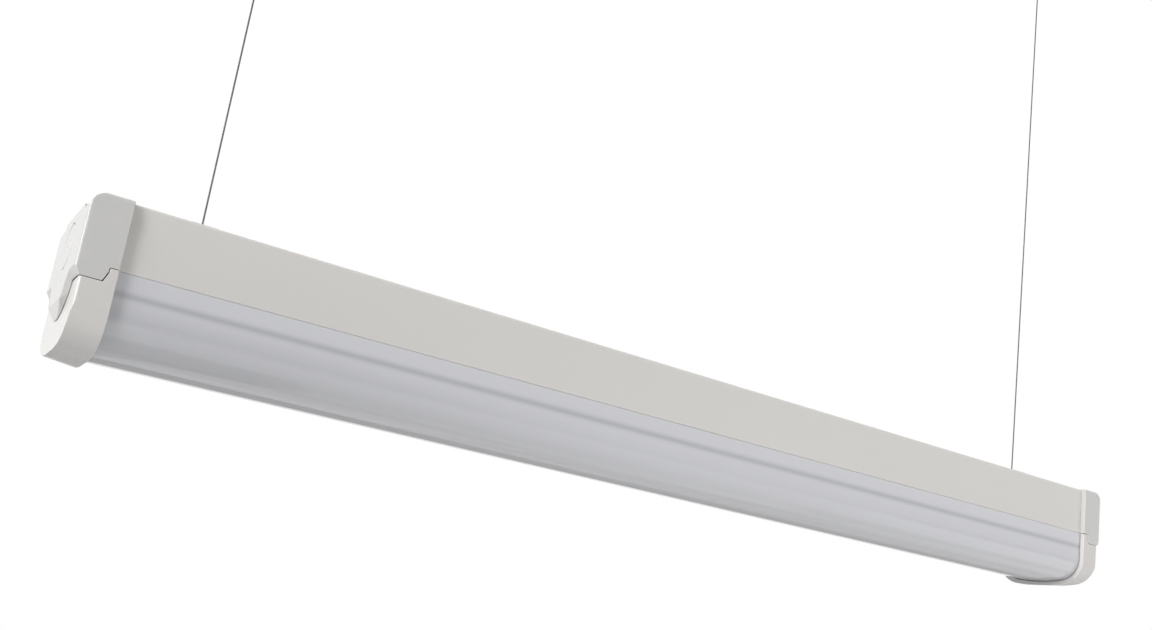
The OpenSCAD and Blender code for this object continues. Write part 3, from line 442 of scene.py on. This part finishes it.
t = np.linspace(0, 1, SPRING_TURNS * RINGS_PER_TURN + 1)
turn = 2 * math.pi * SPRING_TURNS * t
rise = t - END_CLOSING * np.sin(2 * math.pi * t)
radial = np.stack([np.cos(turn), np.sin(turn), 0 * t], axis=1)
thinned = 1 - TIP_THINNING * np.exp(-(np.minimum(t, 1 - t) * TIP_SHARPNESS) ** 2)
radius = np.broadcast_to(SPRING_WIRE_R * thinned[:, None], (len(t), POINTS_ROUND_SPRING))
for side in SIDES:
    low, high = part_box("spring_" + side)
    centre = ((low.x + high.x) / 2 / MM, (low.y + high.y) / 2 / MM)
    free_length = (high.z - low.z) / MM
    path = SPRING_MEAN_R * radial
    path[:, 0] += centre[0]
    path[:, 1] += centre[1]
    path[:, 2] = low.z / MM + SPRING_WIRE_R + (free_length - 2 * SPRING_WIRE_R) * rise
    spring = wire_along("gripper_spring_" + side, path * MM, radial, radius * MM)
    smooth_by_angle(spring, degrees=60)
    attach(spring, "gripper_" + side)
    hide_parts("spring_" + side)
    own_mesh(spring)
    new_pieces.append((spring, "dark_steel"))

# %% [markdown]
# ## Spare ends of the wires
# Above the gripper's collet the wire's spare end goes up the body, turns out through the side hole
# and ends bare. It is the same strand as below, so its section turns with the same lay.

# %% Wire tails
TAIL_BEND_R = 1.6
UPRIGHT_POINTS, BEND_POINTS, OUTWARD_POINTS = 60, 16, 24

for side in SIDES:
    low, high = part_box("wire_tail_" + side)
    x = (low.x + high.x) / 2 / MM
    foot_z, run_z, tip_y = low.z / MM, high.z / MM - WIRE_D / MM / 2, high.y / MM
    bend = np.linspace(0, math.pi / 2, BEND_POINTS)[1:]
    upright = np.linspace(foot_z, run_z - TAIL_BEND_R, UPRIGHT_POINTS)
    outward = np.linspace(TAIL_BEND_R, tip_y, OUTWARD_POINTS)[1:]
    y = np.concatenate([0 * upright, TAIL_BEND_R * (1 - np.cos(bend)), outward])
    z = np.concatenate([upright, run_z - TAIL_BEND_R * (1 - np.sin(bend)), 0 * outward + run_z])
    path = np.stack([0 * y + x, y, z], axis=1) * MM
    run = np.concatenate([[0], np.cumsum(np.linalg.norm(np.diff(path, axis=0), axis=1))])
    angle = full_turn(OUTER_WIRES * POINTS_PER_LOBE)
    radius = lobed_radius(angle[None, :] - 2 * math.pi * run[:, None] / LAY_LENGTH)
    tail = wire_along("spare_wire_end_" + side, path, np.array([1.0, 0.0, 0.0]), radius)
    smooth_by_angle(tail, degrees=STRAND_SMOOTH_DEGREES)
    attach(tail, "gripper_" + side)
    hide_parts("wire_tail_" + side)
    new_pieces.append((tail, "wire_steel"))
    print(tail.name, "is", round(run[-1] / MM, 1), "mm long")

# %% [markdown]
# ## Shared effects
# Real finishes are never one flat colour. Four effects come back on many pieces: a fine grain in
# the surface, a slow drift of its tone, paler edges that are a painted highlight, and the fine
# marks that rolling, extruding or turning leaves. Each is a node group that puts out a mask or a
# height, and each material uses it at its own size and strength. Sizes are in millimetres on the
# piece.

# %% Node group helpers
def new_group(name, inputs):
    """An empty shader group with float inputs given as {name: default} and one output, Value."""
    tree = bpy.data.node_groups.new(name, "ShaderNodeTree")
    for label, default in inputs.items():
        socket = tree.interface.new_socket(name=label, in_out="INPUT",
                                           socket_type="NodeSocketFloat")
        socket.default_value = default
    tree.interface.new_socket(name="Value", in_out="OUTPUT", socket_type="NodeSocketFloat")
    return tree, tree.nodes.new("NodeGroupInput"), tree.nodes.new("NodeGroupOutput")


def feed(tree, socket, value):
    """Links a socket to the value, where that is a socket too, or else sets the socket to it."""
    if isinstance(value, bpy.types.NodeSocket):
        tree.links.new(value, socket)
    else:
        socket.default_value = value


def add_math(tree, operation, a, b=0.0, clamp=False):
    """A Math node; each of a and b is a socket to link or a number to set."""
    node = tree.nodes.new("ShaderNodeMath")
    node.operation = operation
    node.use_clamp = clamp
    feed(tree, node.inputs[0], a)
    feed(tree, node.inputs[1], b)
    return node.outputs[0]


def add_scaled(tree, value, factor, offset):
    """Value times factor, plus offset."""
    return add_math(tree, "ADD", add_math(tree, "MULTIPLY", value, factor), offset)


def add_noise(tree, vector, scale, detail, roughness):
    """A Noise node; the scale is a socket to link or a number to set."""
    node = tree.nodes.new("ShaderNodeTexNoise")
    tree.links.new(vector, node.inputs["Vector"])
    node.inputs["Detail"].default_value = detail
    node.inputs["Roughness"].default_value = roughness
    feed(tree, node.inputs["Scale"], scale)
    return node.outputs["Fac"]


def object_place(tree, stretch=(1, 1, 1)):
    """The piece's own coordinates in metres, stretched by a Mapping node."""
    place = tree.nodes.new("ShaderNodeTexCoord").outputs["Object"]
    if tuple(stretch) == (1, 1, 1):
        return place
    mapping = tree.nodes.new("ShaderNodeMapping")
    mapping.inputs["Scale"].default_value = stretch
    tree.links.new(place, mapping.inputs["Vector"])
    return mapping.outputs["Vector"]


# %% Grain, drift, draw marks and the edge mask for painted highlights
EDGE_MASK_R = 0.35
DRAWN_ALONG, TURNED_ROUND = (0.02, 1, 1), (1, 1, 12)


def make_grain():
    """Noise whose lumps are Size mm wide, as a height from 0 to 1."""
    tree, inlet, outlet = new_group("fine_grain", {"Size": 0.5})
    scale = add_math(tree, "DIVIDE", 1 / MM, inlet.outputs["Size"])
    noise = add_noise(tree, object_place(tree), scale, detail=3.0, roughness=0.55)
    tree.links.new(noise, outlet.inputs["Value"])
    return tree


def make_drift():
    """A slow change of tone: 1 plus or minus Amount, over patches Size mm wide."""
    tree, inlet, outlet = new_group("tone_drift", {"Size": 60.0, "Amount": 0.03})
    scale = add_math(tree, "DIVIDE", 1 / MM, inlet.outputs["Size"])
    noise = add_noise(tree, object_place(tree), scale, detail=2.0, roughness=0.5)
    swing = add_scaled(tree, noise, 2.0, -1.0)
    tone = add_scaled(tree, swing, inlet.outputs["Amount"], 1.0)
    tree.links.new(tone, outlet.inputs["Value"])
    return tree


def make_marks(name, stretch):
    """Noise drawn out along one axis, as rolling, extruding or turning leaves it, from 0 to 1."""
    tree, inlet, outlet = new_group(name, {"Width": 0.3})
    scale = add_math(tree, "DIVIDE", 1 / MM, inlet.outputs["Width"])
    noise = add_noise(tree, object_place(tree, stretch), scale, detail=3.0, roughness=0.6)
    tree.links.new(noise, outlet.inputs["Value"])
    return tree


def make_edge_mask():
    """1 on an edge and 0 away from it: one minus the cosine between the true normal and the normal
    rounded over a small radius, made stronger and clamped."""
    tree, inlet, outlet = new_group("edge_mask", {"Strength": 6.0})
    bevel = tree.nodes.new("ShaderNodeBevel")
    bevel.samples = 4
    bevel.inputs["Radius"].default_value = EDGE_MASK_R * MM
    geometry = tree.nodes.new("ShaderNodeNewGeometry")
    dot = tree.nodes.new("ShaderNodeVectorMath")
    dot.operation = "DOT_PRODUCT"
    tree.links.new(bevel.outputs["Normal"], dot.inputs[0])
    tree.links.new(geometry.outputs["Normal"], dot.inputs[1])
    gap = add_math(tree, "SUBTRACT", 1.0, dot.outputs["Value"])
    mask = add_math(tree, "MULTIPLY", gap, inlet.outputs["Strength"], clamp=True)
    tree.links.new(mask, outlet.inputs["Value"])
    return tree


GRAIN = make_grain()
DRIFT = make_drift()
MARKS_ALONG = make_marks("marks_along_the_light", DRAWN_ALONG)
MARKS_ROUND = make_marks("marks_round_a_turned_part", TURNED_ROUND)
EDGE = make_edge_mask()
print("effects:", [group.name for group in (GRAIN, DRIFT, MARKS_ALONG, MARKS_ROUND, EDGE)])

# %% [markdown]
# ## A recipe for plain finishes
# Paint, moulded plastic and plated steel differ in a few numbers only, so one recipe makes them
# all: the base colour drifts a little, turns on edges to a paler edge colour that is a painted
# highlight, and the grain moves both the roughness and a faint bump. A sharp edge catches the light
# as if it were rounded, because no real edge is sharp. The shader itself stays in each material,
# with its constants set on its own sockets, so that the finish can be carried to other programs.

# %% Material helpers
def srgb(r, g, b):
    """A colour given as it looks on screen, 0 to 255, turned to linear light."""
    c = np.array([r, g, b]) / 255
    return tuple(np.where(c <= 0.04045, c / 12.92, ((c + 0.055) / 1.055) ** 2.4)) + (1.0,)


def use_group(tree, group, **values):
    """Places a group in a material, with some of its inputs set, and returns its output."""
    node = tree.nodes.new("ShaderNodeGroup")
    node.node_tree = group
    for label, value in values.items():
        node.inputs[label].default_value = value
    return node.outputs["Value"]


def mix_colour(tree, factor, a, b, blend="MIX"):
    """A Mix node for colours; a and b are sockets to link or colours to set."""
    node = tree.nodes.new("ShaderNodeMix")
    node.data_type = "RGBA"
    node.blend_type = blend
    colour_a, colour_b = [s for s in node.inputs if s.type == "RGBA"]
    feed(tree, node.inputs["Factor"], factor)
    feed(tree, colour_a, a)
    feed(tree, colour_b, b)
    return [s for s in node.outputs if s.type == "RGBA"][0]


def drifting(tree, colour, size, amount):
    """A colour whose tone drifts by the amount, over patches of a size in mm."""
    tone = use_group(tree, DRIFT, Size=size, Amount=amount)
    grey = tree.nodes.new("ShaderNodeCombineColor")
    for channel in grey.inputs:
        tree.links.new(tone, channel)
    return mix_colour(tree, 1.0, colour, grey.outputs[0], "MULTIPLY")


def add_bump(tree, shader, height, depth, sunk=False, edge_radius=None):
    """Gives the shader a bump of a depth in mm. With an edge radius in mm the bump stands on a
    normal that is rounded over sharp edges."""
    bump = tree.nodes.new("ShaderNodeBump")
    bump.invert = sunk
    bump.inputs["Distance"].default_value = depth * MM
    bump.inputs["Strength"].default_value = 1.0
    tree.links.new(height, bump.inputs["Height"])
    if edge_radius is not None:
        soft_edge = tree.nodes.new("ShaderNodeBevel")
        soft_edge.samples = 6
        soft_edge.inputs["Radius"].default_value = edge_radius * MM
        tree.links.new(soft_edge.outputs["Normal"], bump.inputs["Normal"])
    tree.links.new(bump.outputs["Normal"], shader.inputs["Normal"])


def new_material(name):
    """A material with an empty tree but for its Principled shader and output."""
    material = bpy.data.materials.new(name)
    material.use_nodes = True
    tree = material.node_tree
    return material, tree, tree.nodes["Principled BSDF"]


# %% Finish recipe
ROUGH_LUMPS = 4


def finish(name, colour, edge_highlight_colour, roughness, metallic=0.0, grain=0.5, grain_depth=0.004,
           drift=0.02, drift_size=50.0, spread=0.08, marks=None, marks_width=0.3, marks_depth=0.0,
           edge=4.0, rounding=0.2):
    """A finish from the recipe. Grain and marks are widths in mm, their depths are bump heights in
    mm, spread is how far the grain moves the roughness, in lumps a few times wider, and rounding is
    the radius in mm that light sees on sharp edges."""
    material, tree, shader = new_material(name)
    # Painted highlight: on edges the colour turns to the paler edge colour.
    colour_with_edge_highlight = mix_colour(tree, use_group(tree, EDGE, Strength=edge),
                      drifting(tree, colour, size=drift_size, amount=drift), edge_highlight_colour)
    tree.links.new(colour_with_edge_highlight, shader.inputs["Base Color"])
    lumps = use_group(tree, GRAIN, Size=grain * ROUGH_LUMPS)
    tree.links.new(add_scaled(tree, lumps, 2 * spread, roughness - spread),
                   shader.inputs["Roughness"])
    height = add_math(tree, "MULTIPLY", use_group(tree, GRAIN, Size=grain), grain_depth)
    if marks is not None:
        lines = use_group(tree, marks, Width=marks_width)
        height = add_math(tree, "ADD", height, add_math(tree, "MULTIPLY", lines, marks_depth))
    add_bump(tree, shader, height, depth=1.0, edge_radius=rounding)
    shader.inputs["Metallic"].default_value = metallic
    return material


# %% Finishes
# For the caps, edge sets how strongly the painted edge highlight shows.
CAP = dict(roughness=0.28, grain=0.3, grain_depth=0.002, drift=0.01, spread=0.02, rounding=0.35,
           edge=6.0)
TURNED = dict(metallic=1.0, marks=MARKS_ROUND)
finishes = {
    "housing_paint": finish("satin_powder_coat", srgb(205, 202, 198), srgb(232, 230, 226), 0.3,
                            grain=0.3, grain_depth=0.0006, drift=0.012, drift_size=90, spread=0.03),
    "tray_paint": finish("white_gloss_paint", srgb(236, 236, 233), srgb(244, 244, 242), 0.3),
    "cap_plastic": finish("moulded_cap_plastic", srgb(203, 200, 197), srgb(244, 243, 240), **CAP),
    "upper_cap": finish("upper_cap_plastic", srgb(194, 193, 191), srgb(244, 243, 240), **CAP),
    "wire_steel": finish("drawn_wire", srgb(98, 97, 96), srgb(114, 114, 114), 0.5, metallic=1.0),
    "zinc": finish("zinc_plate", srgb(196, 198, 200), srgb(220, 221, 222), 0.36, metallic=1.0,
                   grain=1.1, grain_depth=0.004, drift=0.06, drift_size=4.0, spread=0.1),
    "bright_steel": finish("ground_steel", srgb(200, 200, 202), srgb(226, 226, 228), 0.28,
                           marks_width=0.25, marks_depth=0.004, **TURNED),
    "dark_steel": finish("spring_steel", srgb(112, 112, 114), srgb(150, 150, 152), 0.4,
                         metallic=1.0),
    "nickel": finish("satin_nickel", srgb(205, 202, 196), srgb(228, 226, 222), 0.3,
                     marks_width=0.2, marks_depth=0.003, **TURNED),
    "brass": finish("turned_brass", srgb(200, 166, 98), srgb(226, 198, 138), 0.3,
                    marks_width=0.2, marks_depth=0.003, **TURNED),
    "rubber": finish("moulded_rubber", srgb(44, 44, 44), srgb(66, 66, 66), 0.7,
                     grain=0.25, grain_depth=0.02, spread=0.1),
    "case_plastic": finish("case_plastic", srgb(232, 232, 229), srgb(243, 243, 241), 0.45),
    "component_black": finish("component_black", srgb(32, 32, 33), srgb(60, 60, 62), 0.4),
    "lead_brown": finish("brown_insulation", srgb(98, 56, 30), srgb(124, 78, 48), 0.45),
    "lead_red": finish("red_insulation", srgb(170, 34, 30), srgb(196, 66, 58), 0.45),
}
print(len(finishes), "finishes made")

# %% [markdown]
# ## Opal diffuser
# Opal plastic lets light through, so what stands behind the wall would show as soft bands; here
# they are painted shade in its colour. The wall is palest where the seal ledge backs it, a narrow
# dark line is the painted shadow of the stiffening rib, and below the rib it is painted a little
# darker, where it encloses only air. A painted shade darkens it slowly towards its left end too,
# most of all below the rib. Each band is a bell or a step over a distance in mm. Fine lines left by
# the extrusion die run along it, and the surface is glossy.

# %% Bells and steps
def seam_places(tree):
    """The depth below the seam and the distance left of the middle of the light, both in mm."""
    split = tree.nodes.new("ShaderNodeSeparateXYZ")
    tree.links.new(object_place(tree), split.inputs[0])
    depth = add_scaled(tree, split.outputs["Z"], -1 / MM, SEAM_Z)
    return depth, add_math(tree, "MULTIPLY", split.outputs["X"], -1 / MM)


def make_bell():
    """A bell curve over Place: exp(-((Place - Middle) / Width) squared)."""
    tree, inlet, outlet = new_group("bell", {"Place": 0.0, "Middle": 0.0, "Width": 1.0})
    away = add_math(tree, "SUBTRACT", inlet.outputs["Place"], inlet.outputs["Middle"])
    ratio = add_math(tree, "DIVIDE", away, inlet.outputs["Width"])
    power = add_math(tree, "MULTIPLY", add_math(tree, "MULTIPLY", ratio, ratio), -1.0)
    tree.links.new(add_math(tree, "EXPONENT", power), outlet.inputs["Value"])
    return tree


def make_step():
    """A smooth step over Place, 0 before Start and 1 after End."""
    tree, inlet, outlet = new_group("smooth_step", {"Place": 0.0, "Start": 0.0, "End": 1.0})
    ramp = tree.nodes.new("ShaderNodeMapRange")
    ramp.interpolation_type = "SMOOTHSTEP"
    for label, target in (("Place", "Value"), ("Start", "From Min"), ("End", "From Max")):
        tree.links.new(inlet.outputs[label], ramp.inputs[target])
    tree.links.new(ramp.outputs["Result"], outlet.inputs["Value"])
    return tree


def linked_group(tree, group, place, **values):
    """A group over a linked Place, with its other inputs set."""
    value = use_group(tree, group, **values)
    tree.links.new(place, value.node.inputs["Place"])
    return value


BELL, STEP = make_bell(), make_step()

# %% Opal plastic
# The second colour is the dark one that the painted shades and the die streaks mix towards.
OPAL, OPAL_SHADE_AND_STREAKS = srgb(201, 201, 205), srgb(42, 42, 48)
# Sizes and strengths of the painted shades: the rib's shadow, the wall below the rib and the left
# end.
RIB_SHADOW_BELOW, RIB_SHADOW_WIDTH, RIB_SHADOW_STRENGTH = 0.4, 1.5, 0.27
BELOW_RIB_END, BELOW_RIB_SHADE = 2.2 * RIB_DEPTH, 0.045
LEFT_END_MM, LEFT_SHADE, LEFT_BELOW_RIB_SHADE = 290, 0.04, 0.11
STREAK_WIDTH, STREAK_SHADE = 1.6, 0.03
DIE_LINE_WIDTH, DIE_LINE_SHARE = 0.5, 0.3
OPAL_ROUGHNESS, OPAL_ROUGHNESS_SPREAD = 0.06, 0.06
OPAL_BUMP = 0.003

opal, tree, shader = new_material("opal_diffuser_plastic")
depth_mm, left_mm = seam_places(tree)
# Painted shadow of the stiffening rib: a dark band just below it, as if seen through the wall.
rib_shadow_band = linked_group(tree, BELL, depth_mm, Middle=RIB_DEPTH + RIB_SHADOW_BELOW,
                        Width=RIB_SHADOW_WIDTH)
# Painted shade: the wall turns a little darker below the rib.
below_rib = linked_group(tree, STEP, depth_mm, Start=RIB_DEPTH, End=BELOW_RIB_END)
# Painted shade, darkening the wall slowly towards the left end of the light.
left_end = linked_group(tree, STEP, left_mm, Start=0, End=LEFT_END_MM)
streaks = use_group(tree, MARKS_ALONG, Width=STREAK_WIDTH)
# The painted shades and the die streaks, added up as how far the colour turns dark.
shades = [
    add_math(tree, "MULTIPLY", rib_shadow_band, RIB_SHADOW_STRENGTH),
    add_math(tree, "MULTIPLY", below_rib, BELOW_RIB_SHADE),
    add_math(tree, "MULTIPLY", left_end,
             add_scaled(tree, below_rib, LEFT_BELOW_RIB_SHADE, LEFT_SHADE)),
    add_math(tree, "MULTIPLY", streaks, STREAK_SHADE),
]
darker = shades[0]
for shade in shades[1:]:
    darker = add_math(tree, "ADD", darker, shade)
tree.links.new(mix_colour(tree, darker, OPAL, OPAL_SHADE_AND_STREAKS), shader.inputs["Base Color"])
die_lines = use_group(tree, MARKS_ALONG, Width=DIE_LINE_WIDTH)
tree.links.new(add_scaled(tree, die_lines, OPAL_ROUGHNESS_SPREAD, OPAL_ROUGHNESS),
               shader.inputs["Roughness"])
lines = add_math(tree, "ADD", streaks, add_math(tree, "MULTIPLY", die_lines, DIE_LINE_SHARE))
add_bump(tree, shader, lines, depth=OPAL_BUMP)
shader.inputs["Coat Weight"].default_value = 0.25
shader.inputs["Coat Roughness"].default_value = 0.03
finishes["opal_plastic"] = opal
print("the left end of the diffuser is shaded over", LEFT_END_MM, "mm")

# %% [markdown]
# ## Circuit boards and LED chips
# The boards can be seen when the diffuser hangs open. A printed board shows its copper tracks as
# faint raised lines under the lacquer, laid on a grid, so a brick pattern with long thin bricks
# gives them. An LED chip is a white package with a sunk window of yellow phosphor: the window is
# where the distance from the middle of the chip, along and across the light, is below half its
# length and width.

# %% Board tracks
TRACK_GRID = {"Scale": 1 / MM, "Brick Width": 46.0, "Row Height": 3.75, "Mortar Size": 0.22,
              "Mortar Smooth": 0.2}
TRACK_SHOWS, TRACK_HEIGHT = 0.5, 0.035
BOARD_GRAIN, BOARD_ROUGHNESS_SPREAD = 0.4, 0.12


def board_material(name, lacquer, track, roughness):
    """A lacquered board. The joints of a brick pattern are its tracks, in colour and in height."""
    material, tree, shader = new_material(name)
    bricks = tree.nodes.new("ShaderNodeTexBrick")
    tree.links.new(object_place(tree), bricks.inputs["Vector"])
    for label, value in TRACK_GRID.items():
        bricks.inputs[label].default_value = value
    base = drifting(tree, lacquer, size=18.0, amount=0.02)
    tracks = add_math(tree, "MULTIPLY", bricks.outputs["Fac"], TRACK_SHOWS)
    tree.links.new(mix_colour(tree, tracks, base, track), shader.inputs["Base Color"])
    grain = use_group(tree, GRAIN, Size=BOARD_GRAIN)
    tree.links.new(add_scaled(tree, grain, BOARD_ROUGHNESS_SPREAD, roughness),
                   shader.inputs["Roughness"])
    add_bump(tree, shader, bricks.outputs["Fac"], depth=TRACK_HEIGHT)
    return material


finishes["board_white"] = board_material("white_solder_resist", srgb(232, 232, 228),
                                         srgb(218, 217, 208), 0.3)
finishes["board_green"] = board_material("green_solder_resist", srgb(28, 92, 52),
                                         srgb(58, 124, 76), 0.25)

# %% LED chips
CHIPS_A_SIDE = 22
WINDOW_HALF_SIZES, WINDOW_EDGE, WINDOW_SINK = (0.95, 1.25), 0.08, 0.08
PACKAGE_ROUGHNESS, PHOSPHOR_ROUGHER = 0.3, 0.25
PHOSPHOR_GRAIN = 0.12

board_low, board_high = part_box("led_board_right")
chip_pitch = (board_high.x - board_low.x) / MM / CHIPS_A_SIDE
chip, tree, shader = new_material("phosphor_chip")
split = tree.nodes.new("ShaderNodeSeparateXYZ")
tree.links.new(object_place(tree), split.inputs[0])
along, across_chip = [add_math(tree, "ABSOLUTE", add_math(tree, "MULTIPLY", place, 1 / MM))
                      for place in (split.outputs["X"], split.outputs["Y"])]
pitches = add_math(tree, "DIVIDE", add_math(tree, "SUBTRACT", along, board_low.x / MM), chip_pitch)
from_middle = add_math(tree, "SUBTRACT", add_math(tree, "FRACT", pitches), 0.5)
along_chip = add_math(tree, "ABSOLUTE", add_math(tree, "MULTIPLY", from_middle, chip_pitch))
inside = [linked_group(tree, STEP, distance, Start=half + WINDOW_EDGE, End=half - WINDOW_EDGE)
          for distance, half in zip((along_chip, across_chip), WINDOW_HALF_SIZES)]
window = add_math(tree, "MULTIPLY", inside[0], inside[1])
phosphor = mix_colour(tree, use_group(tree, GRAIN, Size=PHOSPHOR_GRAIN), srgb(240, 214, 96),
                      srgb(226, 190, 74))
tree.links.new(mix_colour(tree, window, srgb(238, 238, 234), phosphor),
               shader.inputs["Base Color"])
tree.links.new(add_scaled(tree, window, PHOSPHOR_ROUGHER, PACKAGE_ROUGHNESS),
               shader.inputs["Roughness"])
add_bump(tree, shader, window, depth=WINDOW_SINK, sunk=True)
finishes["phosphor"] = chip
print("chips every", round(chip_pitch, 2), "mm")

# %% [markdown]
# ## Every piece gets its finish
# A CAD node keeps its mesh and gets the finish that its material slot names. The two upper caps
# are a shade greyer than the lower ones, so they have a finish of their own. The new pieces get
# theirs by the slot that was named for each of them above.

# %% Finishes on the pieces
for name, obj in nodes.items():
    slot_name = obj.data.materials[0].name.split(".")[0]
    obj.data.materials[0] = finishes["upper_cap" if name.startswith("upper_cap") else slot_name]
for piece, slot_name in new_pieces:
    piece.data.materials.append(finishes[slot_name])
print(len(nodes), "nodes and", len(new_pieces), "new pieces have their finish")

# %% [markdown]
# ## Floor, world and lamps
# The picture is a cut-out on pure white, lit by large soft lamps: the end that faces left is nearly
# white, the front is a pale grey and the belly is darkest. A pale floor far below keeps the shadow.
# The floor and the world are white for the rays that see them, and darker for the rays that light
# the piece, so that its shaded side stays shaded.

# %% Rays that see the white background
def background_rays(tree):
    """1 for camera, mirror and see-through rays, which see the white background, and 0 for the rays
    that light the piece."""
    path = tree.nodes.new("ShaderNodeLightPath").outputs
    seen = add_math(tree, "ADD", path["Is Camera Ray"], path["Is Transmission Ray"])
    return add_math(tree, "ADD", seen, path["Is Glossy Ray"], clamp=True)


# %% Studio helpers
def plain_shader(tree, kind, **values):
    """A shader of a kind, such as a Diffuse or an Emission one, with its inputs set."""
    node = tree.nodes.new(kind)
    for label, value in values.items():
        node.inputs[label].default_value = value
    return node.outputs[0]


def end_tree(tree, output_kind, lighting, seen):
    """Ends a tree: background rays get the seen shader, and all others get the lighting one."""
    mix = tree.nodes.new("ShaderNodeMixShader")
    output = tree.nodes.new(output_kind)
    tree.links.new(background_rays(tree), mix.inputs[0])
    tree.links.new(lighting, mix.inputs[1])
    tree.links.new(seen, mix.inputs[2])
    tree.links.new(mix.outputs[0], output.inputs["Surface"])


def flat_board(name, finish_name, x0, x1, y0, y1, z):
    """A level rectangle by its four sides, and the empty tree of its material."""
    mesh = bpy.data.meshes.new(name)
    mesh.from_pydata([(x0, y0, z), (x1, y0, z), (x1, y1, z), (x0, y1, z)], [], [(0, 1, 2, 3)])
    board = bpy.data.objects.new(name, mesh)
    scene.collection.objects.link(board)
    material = bpy.data.materials.new(finish_name)
    material.use_nodes = True
    material.node_tree.nodes.clear()
    mesh.materials.append(material)
    return board, material.node_tree


# %% Floor
FLOOR_Z, FLOOR_HALF = -1.25, 12.0
FLOOR_COLOUR, SEEN_FLOOR_COLOUR = (0.5, 0.5, 0.5, 1), (0.3, 0.3, 0.3, 1)
FLOOR_GLOW = 0.8
WHITE = (1, 1, 1, 1)

floor, tree = flat_board("floor", "pale_floor", -FLOOR_HALF, FLOOR_HALF, -FLOOR_HALF, FLOOR_HALF,
                         FLOOR_Z)
shadow_paper = plain_shader(tree, "ShaderNodeBsdfDiffuse", Color=SEEN_FLOOR_COLOUR)
glow = plain_shader(tree, "ShaderNodeEmission", Color=WHITE, Strength=FLOOR_GLOW)
seen_floor = tree.nodes.new("ShaderNodeAddShader")
tree.links.new(shadow_paper, seen_floor.inputs[0])
tree.links.new(glow, seen_floor.inputs[1])
end_tree(tree, "ShaderNodeOutputMaterial",
         lighting=plain_shader(tree, "ShaderNodeBsdfDiffuse", Color=FLOOR_COLOUR),
         seen=seen_floor.outputs[0])
print("the floor lies", -FLOOR_Z, "m below the ceiling")

# %% World
SKY_COLOUR, SKY_STRENGTH = (0.97, 0.985, 1.0, 1), 0.39

world = bpy.data.worlds.new("studio")
scene.world = world
world.use_nodes = True
tree = world.node_tree
tree.nodes.clear()
end_tree(tree, "ShaderNodeOutputWorld",
         lighting=plain_shader(tree, "ShaderNodeBackground", Color=SKY_COLOUR,
                               Strength=SKY_STRENGTH),
         seen=plain_shader(tree, "ShaderNodeBackground", Color=WHITE, Strength=1.0))

# %% Lamps
LIGHT_MIDDLE = Vector((0, 0, -0.43))
LAMPS = {
    # name: (place, width, height, watts)
    "left_high_key": ((-4.6, -0.9, 3.6), 3.0, 3.0, 250.0),
    "left_front_box": ((-6.5, -3.4, 1.0), 2.4, 2.4, 256.0),
    "near_right_fill": ((0.95, -1.3, -0.5), 0.8, 0.8, 7.1),
    "back_box": ((3.4, 4.8, 2.4), 2.4, 2.4, 160.0),
}


def soft_lamp(name, place, width, height, watts):
    """A rectangular soft box at a place, turned to face the middle of the light."""
    data = bpy.data.lights.new(name, "AREA")
    data.shape = "RECTANGLE"
    data.size, data.size_y = width, height
    data.energy = watts
    lamp = bpy.data.objects.new(name, data)
    lamp.location = place
    lamp.rotation_euler = (LIGHT_MIDDLE - Vector(place)).to_track_quat("-Z", "Y").to_euler()
    scene.collection.objects.link(lamp)
    return lamp


for name, (place, width, height, watts) in LAMPS.items():
    lamp = soft_lamp(name, place, width, height, watts)
    lamp.visible_glossy = False

# %% [markdown]
# The bands on the diffuser are mirror images of white cards that lie below the light on a grey
# board, and a tall card at the left draws the bright line down each cap's edge. Each card is a lamp
# that only mirror rays can see, so it draws its band and adds no light. Its level is what it adds
# in the mirror, where white paper is 1; a lamp of area A needs pi times A times that. The lamps
# above are hidden from mirror rays instead, so that no view of the light shows a patch of glare.

# %% Reflection cards
CARD_Z = -1.1
BOARD_Z = CARD_Z - 0.02
BOARD_SIDES, BOARD_LEVEL = (-3.0, 10.0, -2.1, 11.0), 0.45
ROW_EDGES, ROW_LEVELS = (-0.3, 0.35, 0.8, 1.3, 2.2), (1.35, 0.8, 0.52, 0.42)
COLUMN_EDGES, COLUMN_LEVELS = (-0.7, 0.0, 0.65, 1.4, 3.2), (0.6, 1.0, 0.75, 0.6)


def mirror_card(name, middle, width, height, level):
    """A card that faces the middle of the light and that only mirror rays see."""
    card = soft_lamp(name, middle, width, height, math.pi * width * height * level)
    card.visible_diffuse = False
    card.visible_camera = False
    return card


def reflection_card(name, x0, x1, y0, y1, level):
    """A mirror card that lies at the level of the cards and faces up, by its four sides."""
    card = mirror_card(name, ((x0 + x1) / 2, (y0 + y1) / 2, CARD_Z), x1 - x0, y1 - y0, level)
    card.rotation_euler = (math.pi, 0, 0)


# %% [markdown]
# The board is a plain mesh that only mirror rays see. Its level is its own brightness in the
# mirror, so that the belly of the diffuser stays a middle grey over the white floor.

# %% Grey board and cards
board, tree = flat_board("grey_board", "grey_board", *BOARD_SIDES, BOARD_Z)
board.visible_camera = board.visible_diffuse = board.visible_shadow = False
board.visible_transmission = board.visible_volume_scatter = False
output = tree.nodes.new("ShaderNodeOutputMaterial")
tree.links.new(plain_shader(tree, "ShaderNodeEmission", Color=WHITE, Strength=BOARD_LEVEL),
               output.inputs["Surface"])

mirror_card("left_side_card", (-4.78, -1.46, 0.5), 1.8, 2.8, level=13.0)
reflection_card("near_front_card", -1.6, 3.2, -2.1, -0.3, level=1.5)
reflection_card("far_front_card", -3.0, 6.0, -8.0, -2.1, level=0.35)
for row, row_level in enumerate(ROW_LEVELS):
    for column, column_level in enumerate(COLUMN_LEVELS):
        reflection_card(f"under_card_{row}_{column}", *COLUMN_EDGES[column:column + 2],
                        *ROW_EDGES[row:row + 2], row_level * column_level)
print(len(LAMPS), "lamps and", len(bpy.data.lights) - len(LAMPS), "mirror cards")

scene.view_settings.view_transform = "Standard"
